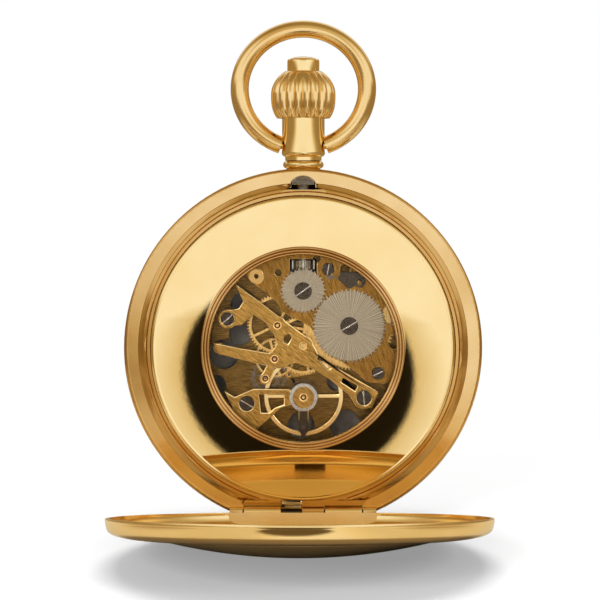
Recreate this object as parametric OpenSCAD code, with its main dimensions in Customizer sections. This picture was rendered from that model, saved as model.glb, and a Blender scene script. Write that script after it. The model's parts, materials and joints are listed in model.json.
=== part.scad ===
/* [Case] */
// Outer radius of the case band
case_r = 25; // [24:0.1:27]
// Thickness of the band from face to face
band_t = 5.8; // [5.6:0.1:6.6]
// Rounding of the outer edges of the band
band_round = 0.45; // [0.3:0.05:0.45]
// Width of the band from its bore to its outer edge
band_w = 3.7; // [3.5:0.1:3.9]
// Width of the raised rim round that opening
rim_w = 1.7; // [1.5:0.1:1.8]
// Height of that rim above the band's face
rim_h = 0.5; // [0.3:0.1:0.7]
// Depth of the flat seat of each cover below the band's face
seat_drop = 0.15; // [0.1:0.05:0.3]
// Width of the lip outside that seat
lip_w = 0.55; // [0.45:0.05:0.6]
/* [Covers] */
// Depth of each cover from its rim to the top of its dome
cover_depth = 4.9; // [4.4:0.1:5.4]
// Wall of the covers
cover_wall = 0.55; // [0.4:0.05:0.7]
// Height of the straight edge at the rim of a cover
edge_h = 0.7; // [0.5:0.1:1]
// Width of a cover's shoulder from its edge in to the crease
shoulder_w = 6.4; // [5.4:0.1:7.4]
// Depth of that crease from the rim
crease_depth = 2.6; // [2.2:0.1:3]
// Angle that the front cover opens
front_open = 85; // [60:1:88]
/* [Hinges] */
// Height of both hinge pins above the lowest point of the case
hinge_rise = 2.1; // [1.9:0.05:2.4]
// Radius of the hinge knuckles
knuckle_r = 0.8; // [0.7:0.05:0.9]
// Radius of the hinge pins
pin_r = 0.35; // [0.25:0.05:0.45]
// Half of the length of a hinge
hinge_half = 10.2; // [9.5:0.1:10.4]
// Half of the length between the outer case knuckles
knuckle_half = 8.3; // [7.5:0.1:8.8]
// Where the middle case knuckle ends
middle_knuckle = 3; // [2.5:0.1:4]
/* [Catch] */
// Half of the width of the catch notch in the band
notch_half = 1.87; // [1.7:0.05:2.1]
// Travel of the catch and of the push button
catch_travel = 0.7; // [0.5:0.05:0.8]
/* [Back window] */
// Clear radius of the back window
window_r = 13; // [12:0.1:13.5]
// Width of the moulding round the window
window_ring_w = 1.15; // [0.9:0.05:1.4]
// Thickness of the window glass
window_glass_t = 0.4; // [0.3:0.05:0.5]
// Thickness of the inner cover round the window
inner_cover_t = 0.4; // [0.3:0.05:0.5]
/* [Pendant] */
// Radius of the pendant neck
neck_r = 3; // [2.7:0.1:3.2]
// Height of the neck above the edge of the band
neck_h = 7.8; // [7.5:0.1:8]
// Radius of the ring at the foot of the pendant
collar_r = 2.86; // [2.6:0.1:3]
// Radius of the bore of the pendant
pendant_bore_r = 1.9; // [1.8:0.05:2]
/* [Bow] */
// Radius of the centre line of the bow
bow_r = 8.98; // [8.5:0.1:10]
// Thickness of the bow wire
bow_wire = 2.57; // [2:0.1:2.8]
// Height of the centre of the bow above the edge of the band
bow_rise = 10.7; // [10.2:0.1:11.5]
// How much higher the lower half of the bow is centred
bow_lift = 1.05; // [0.6:0.05:1.5]
// Radius of the pins at the ends of the bow
bow_pin_r = 0.55; // [0.4:0.05:0.7]
/* [Crown] */
// Largest radius of the winding crown
crown_r = 4.58; // [4.3:0.1:5]
// Height of the crown
crown_h = 6.6; // [6.2:0.1:7]
// Number of rounded flutes of the crown
crown_flutes = 20; // [16:1:26]
// How far the crown pulls out to set the hands
crown_pull = 1; // [0.6:0.1:1.2]
// Radius of the push button
button_r = 2.26; // [2:0.05:2.4]
// Height that the button stands out of the crown
button_h = 2.1; // [1.6:0.1:2.6]
/* [Movement] */
// Width of the ring that holds the main plate in the case
ring_w = 3.7; // [3.6:0.1:4.2]
// Thickness of the main plate
plate_t = 0.75; // [0.6:0.05:0.8]
// Thickness of the train bridge and the balance cock
bridge_t = 0.75; // [0.6:0.05:0.9]
// Thickness of the barrel bridge
barrel_bridge_t = 0.32; // [0.25:0.01:0.35]
// Thickness of the ratchet wheel and the crown wheel
winding_wheel_t = 0.35; // [0.25:0.05:0.45]
// Thickness of the train wheels
wheel_t = 0.15; // [0.1:0.01:0.16]
// Radius of the balance wheel
balance_r = 5.58; // [5.2:0.05:5.65]
// Height of the barrel drum
barrel_h = 1.15; // [1:0.05:1.15]
/* [Dial and hands] */
// Thickness of the dial
dial_t = 0.35; // [0.25:0.05:0.4]
// Length of the minute hand
minute_length = 15.5; // [12:0.5:17]
// Length of the hour hand
hour_length = 10.5; // [8:0.5:12]
// Width of the bezel round the front glass
bezel_w = 2.5; // [2.1:0.1:3.2]
/* [Hidden] */
$fn = 96;
eps = 0.01;
fit = 0.02;
run = 0.05;
gap = 0.1;
gold = "#d4a555";
gilt = "#b8893e";
steel = "#b0a38c";
dark_steel = "#3c3226";
ruby = "#8e1f2b";
hand_blue = "#20304c";
dial_white = "#f4f1e8";
glass = [0.8, 0.85, 0.9, 0.3];

// Radii that follow the case
bore_r = case_r - band_w;
cover_r = case_r - lip_w - run;
crease_r = cover_r - shoulder_w;
front_glass_r = bore_r - bezel_w;
// Case heights, measured from the middle plane of the band toward the back
face_z = band_t / 2;
seat_z = face_z - seat_drop;
rim_z = face_z + rim_h;
cover_z = seat_z + run;
channel_r = bore_r + 1.1;
channel_half = 2.2;
ring_r = bore_r - gap;
plate_r = ring_r - ring_w;
ring_back_z = face_z - 0.7;
ring_front_z = 0.9 - face_z;
// Hinge axes lie across the case, one at each seat
hinge_y = hinge_rise - case_r;
hinge_z = seat_z;
chord_y = hinge_y + knuckle_r + gap;
slot_left = -3.05;
slot_right = -0.2;
// Covers: the dome is part of a sphere
dome_rise = cover_depth - crease_depth;
dome_r = (crease_r * crease_r + dome_rise * dome_rise) / (2 * dome_rise);
hinge_gap = cover_z - hinge_z;
// The open back cover rests on its dome, level with the lowest point of the band
rest_a = case_r - hinge_rise;
rest_b = dome_r - hinge_gap - cover_depth;
rest_tilt = asin((dome_r - hinge_rise) / norm([rest_a, rest_b])) - atan2(rest_b, rest_a);
back_open = 90 - rest_tilt;
// Front edge of the open back cover, which sets the middle of the whole watch
shoulder_a = cover_r - crease_r;
shoulder_b = crease_depth - edge_h;
open_reach = hinge_z + (crease_r - hinge_y) * cos(rest_tilt) + (hinge_gap + edge_h) * sin(rest_tilt)
    + norm([shoulder_a * cos(rest_tilt), shoulder_b * sin(rest_tilt)]);
shift_y = (open_reach - cover_z - cover_depth) / 2;
// Catch
catch_r = 1.6;
catch_low = channel_r - 0.3;
catch_high = case_r - 0.8;
catch_z = 0.8;
tongue_half = notch_half - 0.3;
tongue_y = cover_r - cover_wall - 0.5;
lug_z = cover_z + 0.05;
lug_h = 0.25;
hook_h = 0.25;
notch_low = tongue_y - catch_travel - 0.6;
notch_high = cover_r - 0.35;
foot_h = 0.45;
// Pendant, crown and stem, along the line from the centre of the case to the bow
pendant_seat = case_r - 0.6;
spigot_r = 2;
neck_top = case_r + neck_h;
bow_centre = case_r + bow_rise;
bow_pin_y = bow_centre + bow_lift - sqrt(bow_r * bow_r - neck_r * neck_r);
crown_low = neck_top - 0.7;
crown_top = crown_low + crown_h;
crown_room_r = neck_r + 0.15;
crown_room = neck_top + 0.15;
button_room = crown_top - catch_travel - 0.35;
button_low = button_room + catch_travel + 0.1;
prong_x = 1.2;
prong_r = 0.28;
stem_r = 0.55;
arbor_r = 0.5;
square_w = 0.5;
arbor_out = plate_r - 0.5;
arbor_in = 7.4;
// Movement heights
plate_z = -0.45;
bridge_z = 1.08;
barrel_bridge_z = bridge_z;
winding_z = barrel_bridge_z + barrel_bridge_t + run;
top_z = bridge_z + bridge_t;
// Movement places, seen from the back with the pendant up
centre_at = [0, 0.2];
barrel_at = [6.46, 2.98];
crown_wheel_at = [0, 7.9];
third_at = [-3.61, 3.06];
fourth_at = [-4, -1.65];
escape_at = [-5.3, -4.4];
pallet_at = [-2.05, -4.1];
balance_at = [0.05, -7];
click_at = [7.9, 9];
minute_wheel_at = [2.2, -2.006];
// Teeth
crown_teeth = 33;
ratchet_teeth = 54;
winding_teeth = 17;
barrel_teeth = 80;
centre_leaves = 10;
centre_teeth = 64;
third_leaves = 8;
third_teeth = 60;
fourth_leaves = 8;
fourth_teeth = 70;
escape_leaves = 7;
escape_teeth = 15;
cannon_leaves = 12;
minute_teeth = 36;
minute_leaves = 10;
hour_teeth = 40;
winding_module = 2 * norm(barrel_at - crown_wheel_at) / (crown_teeth + ratchet_teeth);
barrel_module = 2 * norm(barrel_at - centre_at) / (barrel_teeth + centre_leaves);
centre_module = 2 * norm(third_at - centre_at) / (centre_teeth + third_leaves);
third_module = 2 * norm(fourth_at - third_at) / (third_teeth + fourth_leaves);
fourth_module = 2 * norm(escape_at - fourth_at) / (fourth_teeth + escape_leaves);
cannon_module = 2 * norm(minute_wheel_at - centre_at) / (minute_teeth + cannon_leaves);
hour_module = 2 * norm(minute_wheel_at - centre_at) / (hour_teeth + minute_leaves);
escape_r = norm(pallet_at - escape_at) / sqrt(2);
// Heights of the wheels
centre_wheel_z = bridge_z - 0.08 - wheel_t;
third_wheel_z = 0.45;
fourth_wheel_z = 0.12;
escape_wheel_z = -0.38;
barrel_z = plate_z + gap;
barrel_tooth_t = 0.33;
balance_z = 0.35;
balance_t = 0.3;
hairspring_z = 0.8;
hairspring_t = 0.2;
dial_z = ring_front_z;
hour_wheel_z = plate_z - plate_t - 0.65;
minute_wheel_z = plate_z - plate_t - 0.35;
hour_hand_z = dial_z - dial_t - 0.45;
minute_hand_z = hour_hand_z - 0.4;
glass_z = minute_hand_z - 0.35;
train_pivot_r = 0.12;
centre_arbor_r = 0.3;
// Screws of the bridges: place, head radius
bridge_screw_list = [
    [[-10.6, 3.95], 0.87], [[8.5, -7.1], 1], [[-7.9, -7.9], 1], [[10.5, -3.7], 0.83],
    [[3.5, 10.9], 0.8], [[0.95, -3.3], 0.5]];
screw_shank = 0.42;
train_screws = [bridge_screw_list[0], bridge_screw_list[1]];
cock_screw = bridge_screw_list[2];
barrel_screws = [bridge_screw_list[3], bridge_screw_list[4]];
pallet_screw = bridge_screw_list[5];
case_screw_angles = [30, 150, 270];

// Points of a circular arc
function arc(centre, r, from, to, steps) =
    [for (i = [0:steps]) let (a = from + (to - from) * i / steps) centre + r * [cos(a), sin(a)]];

// Outline of a toothed wheel, with its first tooth at angle 0
function tooth_outline(teeth, m, add, ded, tip, foot) =
    [for (i = [0:teeth - 1]) for (k = [0:3])
        let (s = k == 0 ? -foot : k == 1 ? -tip : k == 2 ? tip : foot)
        let (a = 360 / teeth * (i + s / 2))
        let (r = teeth * m / 2 + (k == 0 || k == 3 ? -ded : add) * m)
        [r * cos(a), r * sin(a)]];

// Turn of the second of two meshed wheels, from the turn of the first
function mesh_turn(from, to, teeth_1, turn_1, teeth_2) =
    let (line = atan2(to.y - from.y, to.x - from.x))
    let (phase = (line - turn_1) * teeth_1 / 360)
    line + 180 - (0.5 - phase) * 360 / teeth_2;

// Watch frame: x right, y toward the pendant, z toward the back
module watch() {
    translate([0, shift_y, case_r]) rotate([90, 0, 0]) children();
}

module at(place, z = 0) {
    translate([place.x, place.y, z]) children();
}

// Turns a shape that is built along z to stand along the pendant line
module pendant_line(start = 0) {
    translate([0, start, 0]) rotate([-90, 0, 0]) children();
}

module on_both_faces() {
    children();
    mirror([0, 0, 1]) children();
}

// Lays a shape that is built along z from left to right along a hinge
module hinge_line(x_from, r, x_to) {
    translate([x_from, hinge_y, hinge_z]) rotate([0, 90, 0]) cylinder(r = r, h = x_to - x_from);
}

module gear(teeth, m, thick, add = 0.95, ded = 1.2, tip = 0.2, foot = 0.62) {
    linear_extrude(thick) polygon(tooth_outline(teeth, m, add, ded, tip, foot));
}

module pinion(leaves, m, thick) {
    gear(leaves, m, thick, add = 0.7, ded = 1.35, tip = 0.24, foot = 0.36);
}

// A train wheel with its spokes cut out
module spoked_wheel(teeth, m, thick, hub, spokes) {
    inner = teeth * m / 2 - 3.6 * m;
    difference() {
        gear(teeth, m, thick);
        translate([0, 0, -eps]) linear_extrude(thick + 2 * eps) difference() {
            circle(inner);
            circle(hub);
            for (i = [0:spokes - 1]) {
                rotate(90 + 360 / spokes * i) translate([0, -0.17]) square([inner + 0.1, 0.34]);
            }
        }
    }
}

module slotted_head(r, h) {
    difference() {
        cylinder(r = r, h = h, $fn = 48);
        translate([-r - eps, -0.09, h - 0.12]) cube([2 * (r + eps), 0.18, 1]);
    }
}

// Case

module band_profile() {
    corner = [case_r - band_round, face_z - band_round];
    polygon(concat(
        [[channel_r, 0], [channel_r, channel_half], [bore_r, channel_half], [bore_r, rim_z - 0.3],
            [bore_r + 0.4, rim_z - 0.3], [bore_r + 0.5, rim_z - 0.05], [bore_r + 0.6, rim_z],
            [bore_r + 0.9, rim_z], [bore_r + 1, rim_z - 0.05], [bore_r + 1.1, rim_z - 0.25],
            [bore_r + rim_w - 0.1, rim_z - 0.25], [bore_r + rim_w, rim_z - 0.35],
            [bore_r + rim_w, seat_z], [case_r - lip_w, seat_z], [case_r - lip_w, face_z]],
        arc(corner, band_round, 90, 0, 8),
        [[case_r, 0]]));
}

module hinge_room() {
    translate([-hinge_half - gap, chord_y + 0.8 - 5, seat_z]) cube([2 * (hinge_half + gap), 5, 5]);
    hinge_line(-knuckle_half, knuckle_r + gap, slot_right);
    hinge_line(middle_knuckle, knuckle_r + gap, knuckle_half);
    translate([slot_left, chord_y - 0.4, 0]) cube([slot_right - slot_left, 1.2, 5]);
}

module catch_room() {
    foot_half = notch_half + 0.53;
    rise = notch_high - notch_low - foot_h;
    translate([0, notch_low, catch_z - 0.2]) linear_extrude(5) polygon(concat(
        [[-foot_half, 0], [foot_half, 0], [notch_half, foot_h]],
        [for (a = [15:15:165]) [notch_half * cos(a), foot_h + rise * sin(a)]],
        [[-notch_half, foot_h]]));
}

module case_band() {
    color(gold) watch() difference() {
        union() {
            difference() {
                on_both_faces() rotate_extrude($fn = 180) band_profile();
                on_both_faces() hinge_room();
                on_both_faces() catch_room();
                pendant_line(catch_low - 1) cylinder(r = catch_r + gap, h = pendant_seat - catch_low + 1);
                pendant_line(pendant_seat - eps) cylinder(r = spigot_r + fit, h = 2);
            }
            on_both_faces() {
                hinge_line(-hinge_half, knuckle_r, -knuckle_half - gap);
                hinge_line(slot_right + gap, knuckle_r, middle_knuckle - gap);
                hinge_line(knuckle_half + gap, knuckle_r, hinge_half);
            }
        }
        on_both_faces() hinge_line(-hinge_half - 1, pin_r + eps, hinge_half + 1);
    }
}

module hinge_pins() {
    color(dark_steel) watch() on_both_faces() hinge_line(-hinge_half, pin_r, hinge_half);
}

module pendant() {
    color(gold) watch() difference() {
        pendant_line() rotate_extrude() polygon(concat(
            [[pendant_bore_r, pendant_seat], [spigot_r, pendant_seat], [spigot_r, case_r - 0.3],
                [collar_r - 0.15, case_r - 0.3]],
            arc([collar_r - 0.53, case_r + 0.55], 0.53, -90, 90, 12),
            [[2.57, case_r + 1.15], [2.57, case_r + 1.66], [neck_r - 0.2, case_r + 1.75],
                [neck_r + 0.08, case_r + 2.1], [neck_r, case_r + 2.6], [neck_r, neck_top - 0.2],
                [neck_r - 0.2, neck_top], [pendant_bore_r, neck_top]]));
        difference() {
            cylinder(r = case_r, h = 20, center = true, $fn = 180);
            pendant_line() cylinder(r = spigot_r, h = neck_top);
        }
        translate([-neck_r - 1, bow_pin_y, 0]) rotate([0, 90, 0])
            cylinder(r = bow_pin_r + run, h = 2 * neck_r + 2);
    }
}

// Inner cover and windows

module inner_cover() {
    z0 = rim_z + 0.2;
    hole_r = window_r + window_ring_w + fit;
    hollow = 0.00235;
    skirt_r = ring_r - 0.6;
    steps = 12;
    top = [for (i = [0:steps]) let (r = hole_r + (skirt_r - hole_r) * i / steps)
        [r, z0 + hollow * (r * r - hole_r * hole_r)]];
    low = top[steps].y;
    under = [for (i = [steps:-1:0]) top[i] - [0, inner_cover_t]];
    color(gold) watch() rotate_extrude($fn = 180) polygon(concat(top,
        arc([ring_r - 0.4, low - 0.38], 0.4, 100, 0, 7),
        [[ring_r, ring_back_z], [skirt_r, ring_back_z], [skirt_r, low - inner_cover_t]], under));
}

module window_ring() {
    z0 = rim_z - inner_cover_t + 0.2;
    r1 = window_r + window_ring_w;
    bead = window_ring_w / 3;
    color(gold) watch() rotate_extrude($fn = 180) polygon(concat(
        [[window_r, z0 - 0.35], [r1 + 0.6, z0 - 0.35], [r1 + 0.6, z0 - 0.1], [r1, z0 - 0.05]],
        arc([r1 - bead / 2, z0 + 0.55], bead / 2, 0, 180, 8),
        arc([r1 - bead * 1.5, z0 + 0.65], bead / 2, 0, 180, 8),
        arc([r1 - bead * 2.5, z0 + 0.5], bead / 2, 0, 180, 8),
        [[window_r, z0 + 0.1 + window_glass_t / 2], [window_r + 0.4, z0 + 0.1 + window_glass_t / 2],
            [window_r + 0.4, z0 + 0.1 - window_glass_t / 2],
            [window_r, z0 + 0.1 - window_glass_t / 2]]));
}

module window_glass() {
    z0 = rim_z - inner_cover_t + 0.3;
    color(glass) watch() translate([0, 0, z0 - window_glass_t / 2 + fit / 2])
        cylinder(r = window_r + 0.4 - fit, h = window_glass_t - fit, $fn = 180);
}

module front_bezel() {
    low = dial_z - dial_t;
    color(gold) watch() rotate_extrude($fn = 180) polygon(concat(
        [[front_glass_r, low], [ring_r, low]],
        arc([ring_r - 0.5, glass_z + 0.1], 0.5, 0, -80, 6),
        [[front_glass_r + 0.7, glass_z - 0.7], [front_glass_r, glass_z - 0.45],
            [front_glass_r + 0.4, glass_z - 0.4 - fit], [front_glass_r + 0.4, glass_z + fit],
            [front_glass_r, glass_z + 0.1]]));
}

module front_glass() {
    edge = front_glass_r + 0.4 - fit;
    rise = 0.9;
    dome = (edge * edge + rise * rise) / (2 * rise);
    span = asin(edge / dome);
    steps = 10;
    outer = [for (i = [0:steps]) let (a = span * i / steps)
        [dome * sin(a), glass_z - 0.4 - rise - dome * (cos(a) - 1)]];
    inner = [for (i = [steps:-1:0]) outer[i] + [0, 0.4]];
    color(glass) watch() rotate_extrude($fn = 180) polygon(concat(outer, inner));
}

// Covers

// Outer or inner outline of a cover from its axis to its rim, with the wall taken off
function cover_outline(wall) = concat(
    [for (i = [0:10]) let (a = asin((crease_r - 0.1) / dome_r) * i / 10)
        [(dome_r - wall) * sin(a), cover_depth - dome_r + (dome_r - wall) * cos(a)]],
    [for (i = [0:10]) let (a = 84 - 84 * i / 10)
        [crease_r + (shoulder_a - wall) * cos(a), edge_h + (shoulder_b - wall) * sin(a)]]);

module cover_shell() {
    outer = cover_outline(0);
    inner = cover_outline(cover_wall);
    count = len(inner);
    rotate_extrude($fn = 180) polygon(concat(outer,
        [[cover_r + 0.04, edge_h - 0.1], [cover_r + 0.04, 0.12], [cover_r, 0],
            [cover_r - cover_wall, 0]],
        [for (i = [count - 1:-1:0]) inner[i]]));
}

module cover_solid() {
    rotate_extrude($fn = 180) polygon(concat([[0, 0]], cover_outline(0), [[cover_r, 0]]));
}

module cover_knuckle(x_from, x_to) {
    hinge_line(x_from, knuckle_r, x_to);
    translate([x_from, hinge_y, cover_z]) cube([x_to - x_from, knuckle_r + 2 * gap, knuckle_r - run]);
}

module closed_cover() {
    difference() {
        union() {
            difference() {
                union() {
                    translate([0, 0, cover_z]) cover_shell();
                    intersection() {
                        translate([0, 0, cover_z]) cover_solid();
                        translate([-hinge_half, chord_y, 0]) cube([2 * hinge_half, cover_wall, 10]);
                    }
                }
                translate([-case_r, chord_y - 10, 0]) cube([2 * case_r, 10, 10]);
            }
            cover_knuckle(-knuckle_half + gap, slot_left - run);
            cover_knuckle(middle_knuckle + gap, knuckle_half - gap);
            translate([-tongue_half, tongue_y + gap, lug_z])
                cube([2 * tongue_half, cover_r - cover_wall - tongue_y, lug_h]);
        }
        hinge_line(-hinge_half, pin_r + run, hinge_half);
    }
}

module back_cover() {
    color(gold) watch() translate([0, hinge_y, hinge_z]) rotate([back_open, 0, 0])
        translate([0, -hinge_y, -hinge_z]) closed_cover();
}

module front_cover() {
    color(gold) watch() mirror([0, 0, 1]) closed_cover();
}

// Catch and springs

module lock_catch() {
    color(steel) watch() difference() {
        union() {
            pendant_line(catch_low) cylinder(r = catch_r, h = catch_high - catch_low);
            on_both_faces() {
                translate([-tongue_half, tongue_y - 0.6, catch_z])
                    cube([2 * tongue_half, 0.6, lug_z + lug_h + run - catch_z]);
                translate([-tongue_half, tongue_y - 0.6, lug_z + lug_h + run])
                    cube([2 * tongue_half, 0.6 + 0.4, hook_h]);
            }
        }
        pendant_line(catch_low - 1) cylinder(r = stem_r + gap, h = 5);
        for (side = [-1, 1]) {
            translate([side * (tongue_half + 1), 0, 0])
                cube([2, 2 * case_r, 2 * catch_r + 1], center = true);
        }
    }
}

module lock_spring() {
    low = catch_low - 0.35;
    color(steel) watch() difference() {
        rotate([0, 0, 60]) rotate_extrude(angle = 60, $fn = 180)
            translate([low, -1.1]) square([0.35, 2.2]);
        pendant_line(low - 2) cylinder(r = stem_r + gap, h = 5);
    }
}

module lift_springs() {
    outer = bore_r + 0.6;
    low = 0.4;
    tip_from = asin((slot_left + 0.4) / outer) - 90;
    tip_to = asin((slot_right - 0.15) / outer) - 90;
    color(steel) watch() on_both_faces() {
        rotate([0, 0, -160]) rotate_extrude(angle = tip_to + 159, $fn = 180)
            translate([outer - 0.4, low]) square([0.4, 1.2]);
        rotate([0, 0, tip_from]) rotate_extrude(angle = tip_to - tip_from, $fn = 180)
            translate([outer - 0.36, low + 0.1]) square([0.32, seat_z - gap - low - 0.1]);
    }
}

// Bow, crown and button

// A place on the centre line of the bow, with the direction out of its curve
function bow_station(centre, r, a, stretch = 1) =
    [centre + r * [cos(a), sin(a)], stretch * [cos(a), sin(a)]];

module bow() {
    blend = 20;
    blend_r = bow_r - bow_lift / (2 * sin(blend));
    blend_at = (bow_r - blend_r) * [cos(blend), sin(blend)] + [0, bow_centre];
    low_at = [0, bow_centre + bow_lift];
    end = -acos((neck_r + 0.06) / bow_r);
    sides = 20;
    right = concat(
        [[low_at + bow_r * [cos(end), sin(end)], [0, 1 / sin(end)]]],
        [for (i = [1:6]) bow_station(low_at, bow_r, end + (-blend - end) * i / 6)],
        [for (i = [1:5]) bow_station(blend_at, blend_r, -blend + 2 * blend * i / 5)],
        [for (i = [1:8]) bow_station([0, bow_centre], bow_r, blend + (90 - blend) * i / 8)]);
    count = len(right);
    left = [for (i = [count - 2:-1:0]) [[-right[i][0].x, right[i][0].y], [-right[i][1].x, right[i][1].y]]];
    stations = concat(right, left);
    rings = len(stations);
    points = concat([for (s = stations) for (k = [0:sides - 1]) let (t = 360 * k / sides)
        [s[0].x + bow_wire / 2 * cos(t) * s[1].x, s[0].y + bow_wire / 2 * cos(t) * s[1].y,
            bow_wire / 2 * sin(t)]]);
    faces = concat(
        [[for (k = [sides - 1:-1:0]) k]],
        [for (i = [0:rings - 2]) for (k = [0:sides - 1]) for (half = [0, 1])
            let (a = i * sides + k, b = i * sides + (k + 1) % sides)
            half == 0 ? [a, b + sides, a + sides] : [a, b, b + sides]],
        [[for (k = [0:sides - 1]) (rings - 1) * sides + k]]);
    color(gold) watch() {
        polyhedron(points, faces);
        for (side = [0, 1]) mirror([side, 0, 0]) translate([neck_r - 0.9, bow_pin_y, 0])
            rotate([0, 90, 0]) cylinder(r = bow_pin_r, h = 1.6);
    }
}

// Radius of the crown at a share of its height, before fluting
function crown_radius(s) = crown_r * (s < 0.28 ? 0.81 + 0.19 * sin(s / 0.28 * 90)
    : s < 0.55 ? 1 : sqrt(max(0, 1 - pow((s - 0.55) / 0.56, 2))));

module crown() {
    per = 5;
    rings = 12;
    count = crown_flutes * per;
    points = concat([[0, 0, crown_low]], [for (i = [0:rings]) for (k = [0:count - 1])
        let (s = i / rings, r = crown_radius(s), a = 360 * k / count)
        let (bulge = r * 3.4 / crown_flutes * (1 - abs(sin(crown_flutes * a / 2))))
        [(r - bulge * 0.5) * cos(a), (r - bulge * 0.5) * sin(a), crown_low + crown_h * s]],
        [[0, 0, crown_top]]);
    last = len(points) - 1;
    faces = concat(
        [for (k = [0:count - 1]) [0, 1 + k, 1 + (k + 1) % count]],
        [for (i = [0:rings - 1]) for (k = [0:count - 1]) for (half = [0, 1])
            let (a = 1 + i * count + k, b = 1 + i * count + (k + 1) % count)
            half == 0 ? [a, a + count, b + count] : [a, b + count, b]],
        [for (k = [0:count - 1]) [last, 1 + rings * count + (k + 1) % count, 1 + rings * count + k]]);
    color(gold) watch() pendant_line() difference() {
        polyhedron(points, faces);
        translate([0, 0, crown_low - 1]) cylinder(r = crown_room_r, h = crown_room - crown_low + 1);
        translate([0, 0, button_room]) cylinder(r = button_r + run, h = 5);
        cylinder(r = stem_r + fit, h = crown_room + 1.2);
        for (side = [-1, 1]) translate([side * prong_x, 0, 0]) cylinder(r = prong_r + run, h = 60, $fn = 32);
    }
}

module case_stem() {
    color(steel) watch() {
        pendant_line(arbor_out + gap) cylinder(r = stem_r, h = crown_room + 1.2 - arbor_out - gap);
        translate([-square_w / 2, arbor_out - 3, -square_w / 2]) cube([square_w, 3 + 2 * gap, square_w]);
    }
}

module push_button() {
    top = crown_top + button_h;
    color(gold) watch() {
        pendant_line() rotate_extrude() polygon(concat([[0, button_low], [button_r, button_low]],
            arc([button_r - 0.45, top - 0.6], 0.45, 0, 75, 6),
            [[button_r * 0.5, top - 0.06], [0, top]]));
        for (side = [-1, 1]) translate([side * prong_x, 0, 0])
            pendant_line(catch_high + run) cylinder(r = prong_r, h = button_low - catch_high, $fn = 32);
    }
}

// Winding work

module winding_arbor() {
    color(steel) watch() difference() {
        pendant_line(arbor_in) cylinder(r = arbor_r, h = arbor_out - arbor_in);
        translate([-square_w / 2 - fit, arbor_out - 3 - gap, -square_w / 2 - fit])
            cube([square_w + 2 * fit, 5, square_w + 2 * fit]);
    }
}

module winding_pinion() {
    color(dark_steel) watch() pendant_line(crown_wheel_at.y + 2.95) difference() {
        rotate([0, 0, -90 + 180 / winding_teeth])
            gear(winding_teeth, winding_module, 1.25, add = 0.4, ded = 1, tip = 0.22, foot = 0.5);
        translate([0, 0, -1]) cylinder(r = arbor_r + eps, h = 4);
    }
}

module clutch() {
    color(dark_steel) watch() pendant_line(crown_wheel_at.y + 0.6) difference() {
        union() {
            cylinder(r = 0.9, h = 0.7);
            cylinder(r = 0.7, h = 1.3);
            translate([0, 0, 1.3]) gear(12, 0.15, 0.7);
        }
        translate([0, 0, -1]) cylinder(r = arbor_r + eps, h = 4);
    }
}

module crown_wheel() {
    color(steel) watch() at(crown_wheel_at, winding_z) difference() {
        rotate(90) gear(crown_teeth, winding_module, winding_wheel_t, add = 0.7, ded = 1);
        translate([0, 0, -1]) cylinder(r = 0.75, h = 4);
    }
}

module crown_wheel_screw() {
    color(dark_steel) watch() at(crown_wheel_at) {
        translate([0, 0, barrel_bridge_z + fit]) cylinder(r = 0.4 - fit, h = barrel_bridge_t);
        translate([0, 0, barrel_bridge_z + barrel_bridge_t])
            cylinder(r = 0.75 - run, h = winding_wheel_t + 2 * run);
        translate([0, 0, winding_z + winding_wheel_t + run]) rotate(35) slotted_head(1.22, 0.25);
    }
}

ratchet_turn = mesh_turn(crown_wheel_at, barrel_at, crown_teeth, 90, ratchet_teeth);

module ratchet_wheel() {
    color(steel) watch() at(barrel_at, winding_z) difference() {
        rotate(ratchet_turn) gear(ratchet_teeth, winding_module, winding_wheel_t, add = 0.7, ded = 1);
        translate([-0.5 - eps, -0.5 - eps, -1]) cube([1 + 2 * eps, 1 + 2 * eps, 4]);
    }
}

module ratchet_screw() {
    color(dark_steel) watch() at(barrel_at, winding_z + winding_wheel_t) rotate(30) {
        slotted_head(1.25, 0.25);
        translate([0, 0, -0.5]) cylinder(r = 0.3, h = 0.6);
    }
}

module barrel_arbor() {
    color(steel) watch() at(barrel_at) difference() {
        union() {
            translate([0, 0, plate_z - plate_t]) cylinder(r = 0.6, h = winding_z - plate_z + plate_t);
            translate([0, 0, barrel_z + 0.2]) cylinder(r = 1.3, h = barrel_h - 0.4);
            translate([-0.5, -0.5, winding_z - eps]) cube([1, 1, winding_wheel_t + eps]);
        }
        translate([0, 0, winding_z + winding_wheel_t - 0.5 - eps]) cylinder(r = 0.3 + eps, h = 1);
    }
}

module barrel() {
    drum_r = barrel_teeth * barrel_module / 2 - 0.4;
    color(gilt) watch() at(barrel_at, barrel_z) difference() {
        union() {
            gear(barrel_teeth, barrel_module, barrel_tooth_t);
            cylinder(r = drum_r, h = barrel_h);
        }
        translate([0, 0, 0.15]) cylinder(r = drum_r - 0.35, h = barrel_h - 0.3);
        translate([0, 0, -1]) cylinder(r = 0.6 + run, h = 4);
    }
}

module mainspring() {
    drum_r = barrel_teeth * barrel_module / 2 - 0.4;
    color(dark_steel) watch() at(barrel_at, barrel_z + 0.2) difference() {
        cylinder(r = drum_r - 0.35 - fit, h = barrel_h - 0.4);
        translate([0, 0, -1]) cylinder(r = 3.2, h = 4);
    }
}

module click() {
    tip = winding_module * (ratchet_teeth / 2 + 0.7) + 0.07;
    color(dark_steel) watch() difference() {
        translate([0, 0, winding_z]) linear_extrude(winding_wheel_t) difference() {
            polygon([[4.9, 9.5], [5.2, 10.5], [7.1, 10.6], [8.6, 9.9], [8.75, 8.9], [8.2, 8.3],
                [7.2, 8.55], [6.4, 8.1]]);
            translate(barrel_at) circle(tip);
            translate(click_at) circle(0.3 + run);
        }
    }
}

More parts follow.
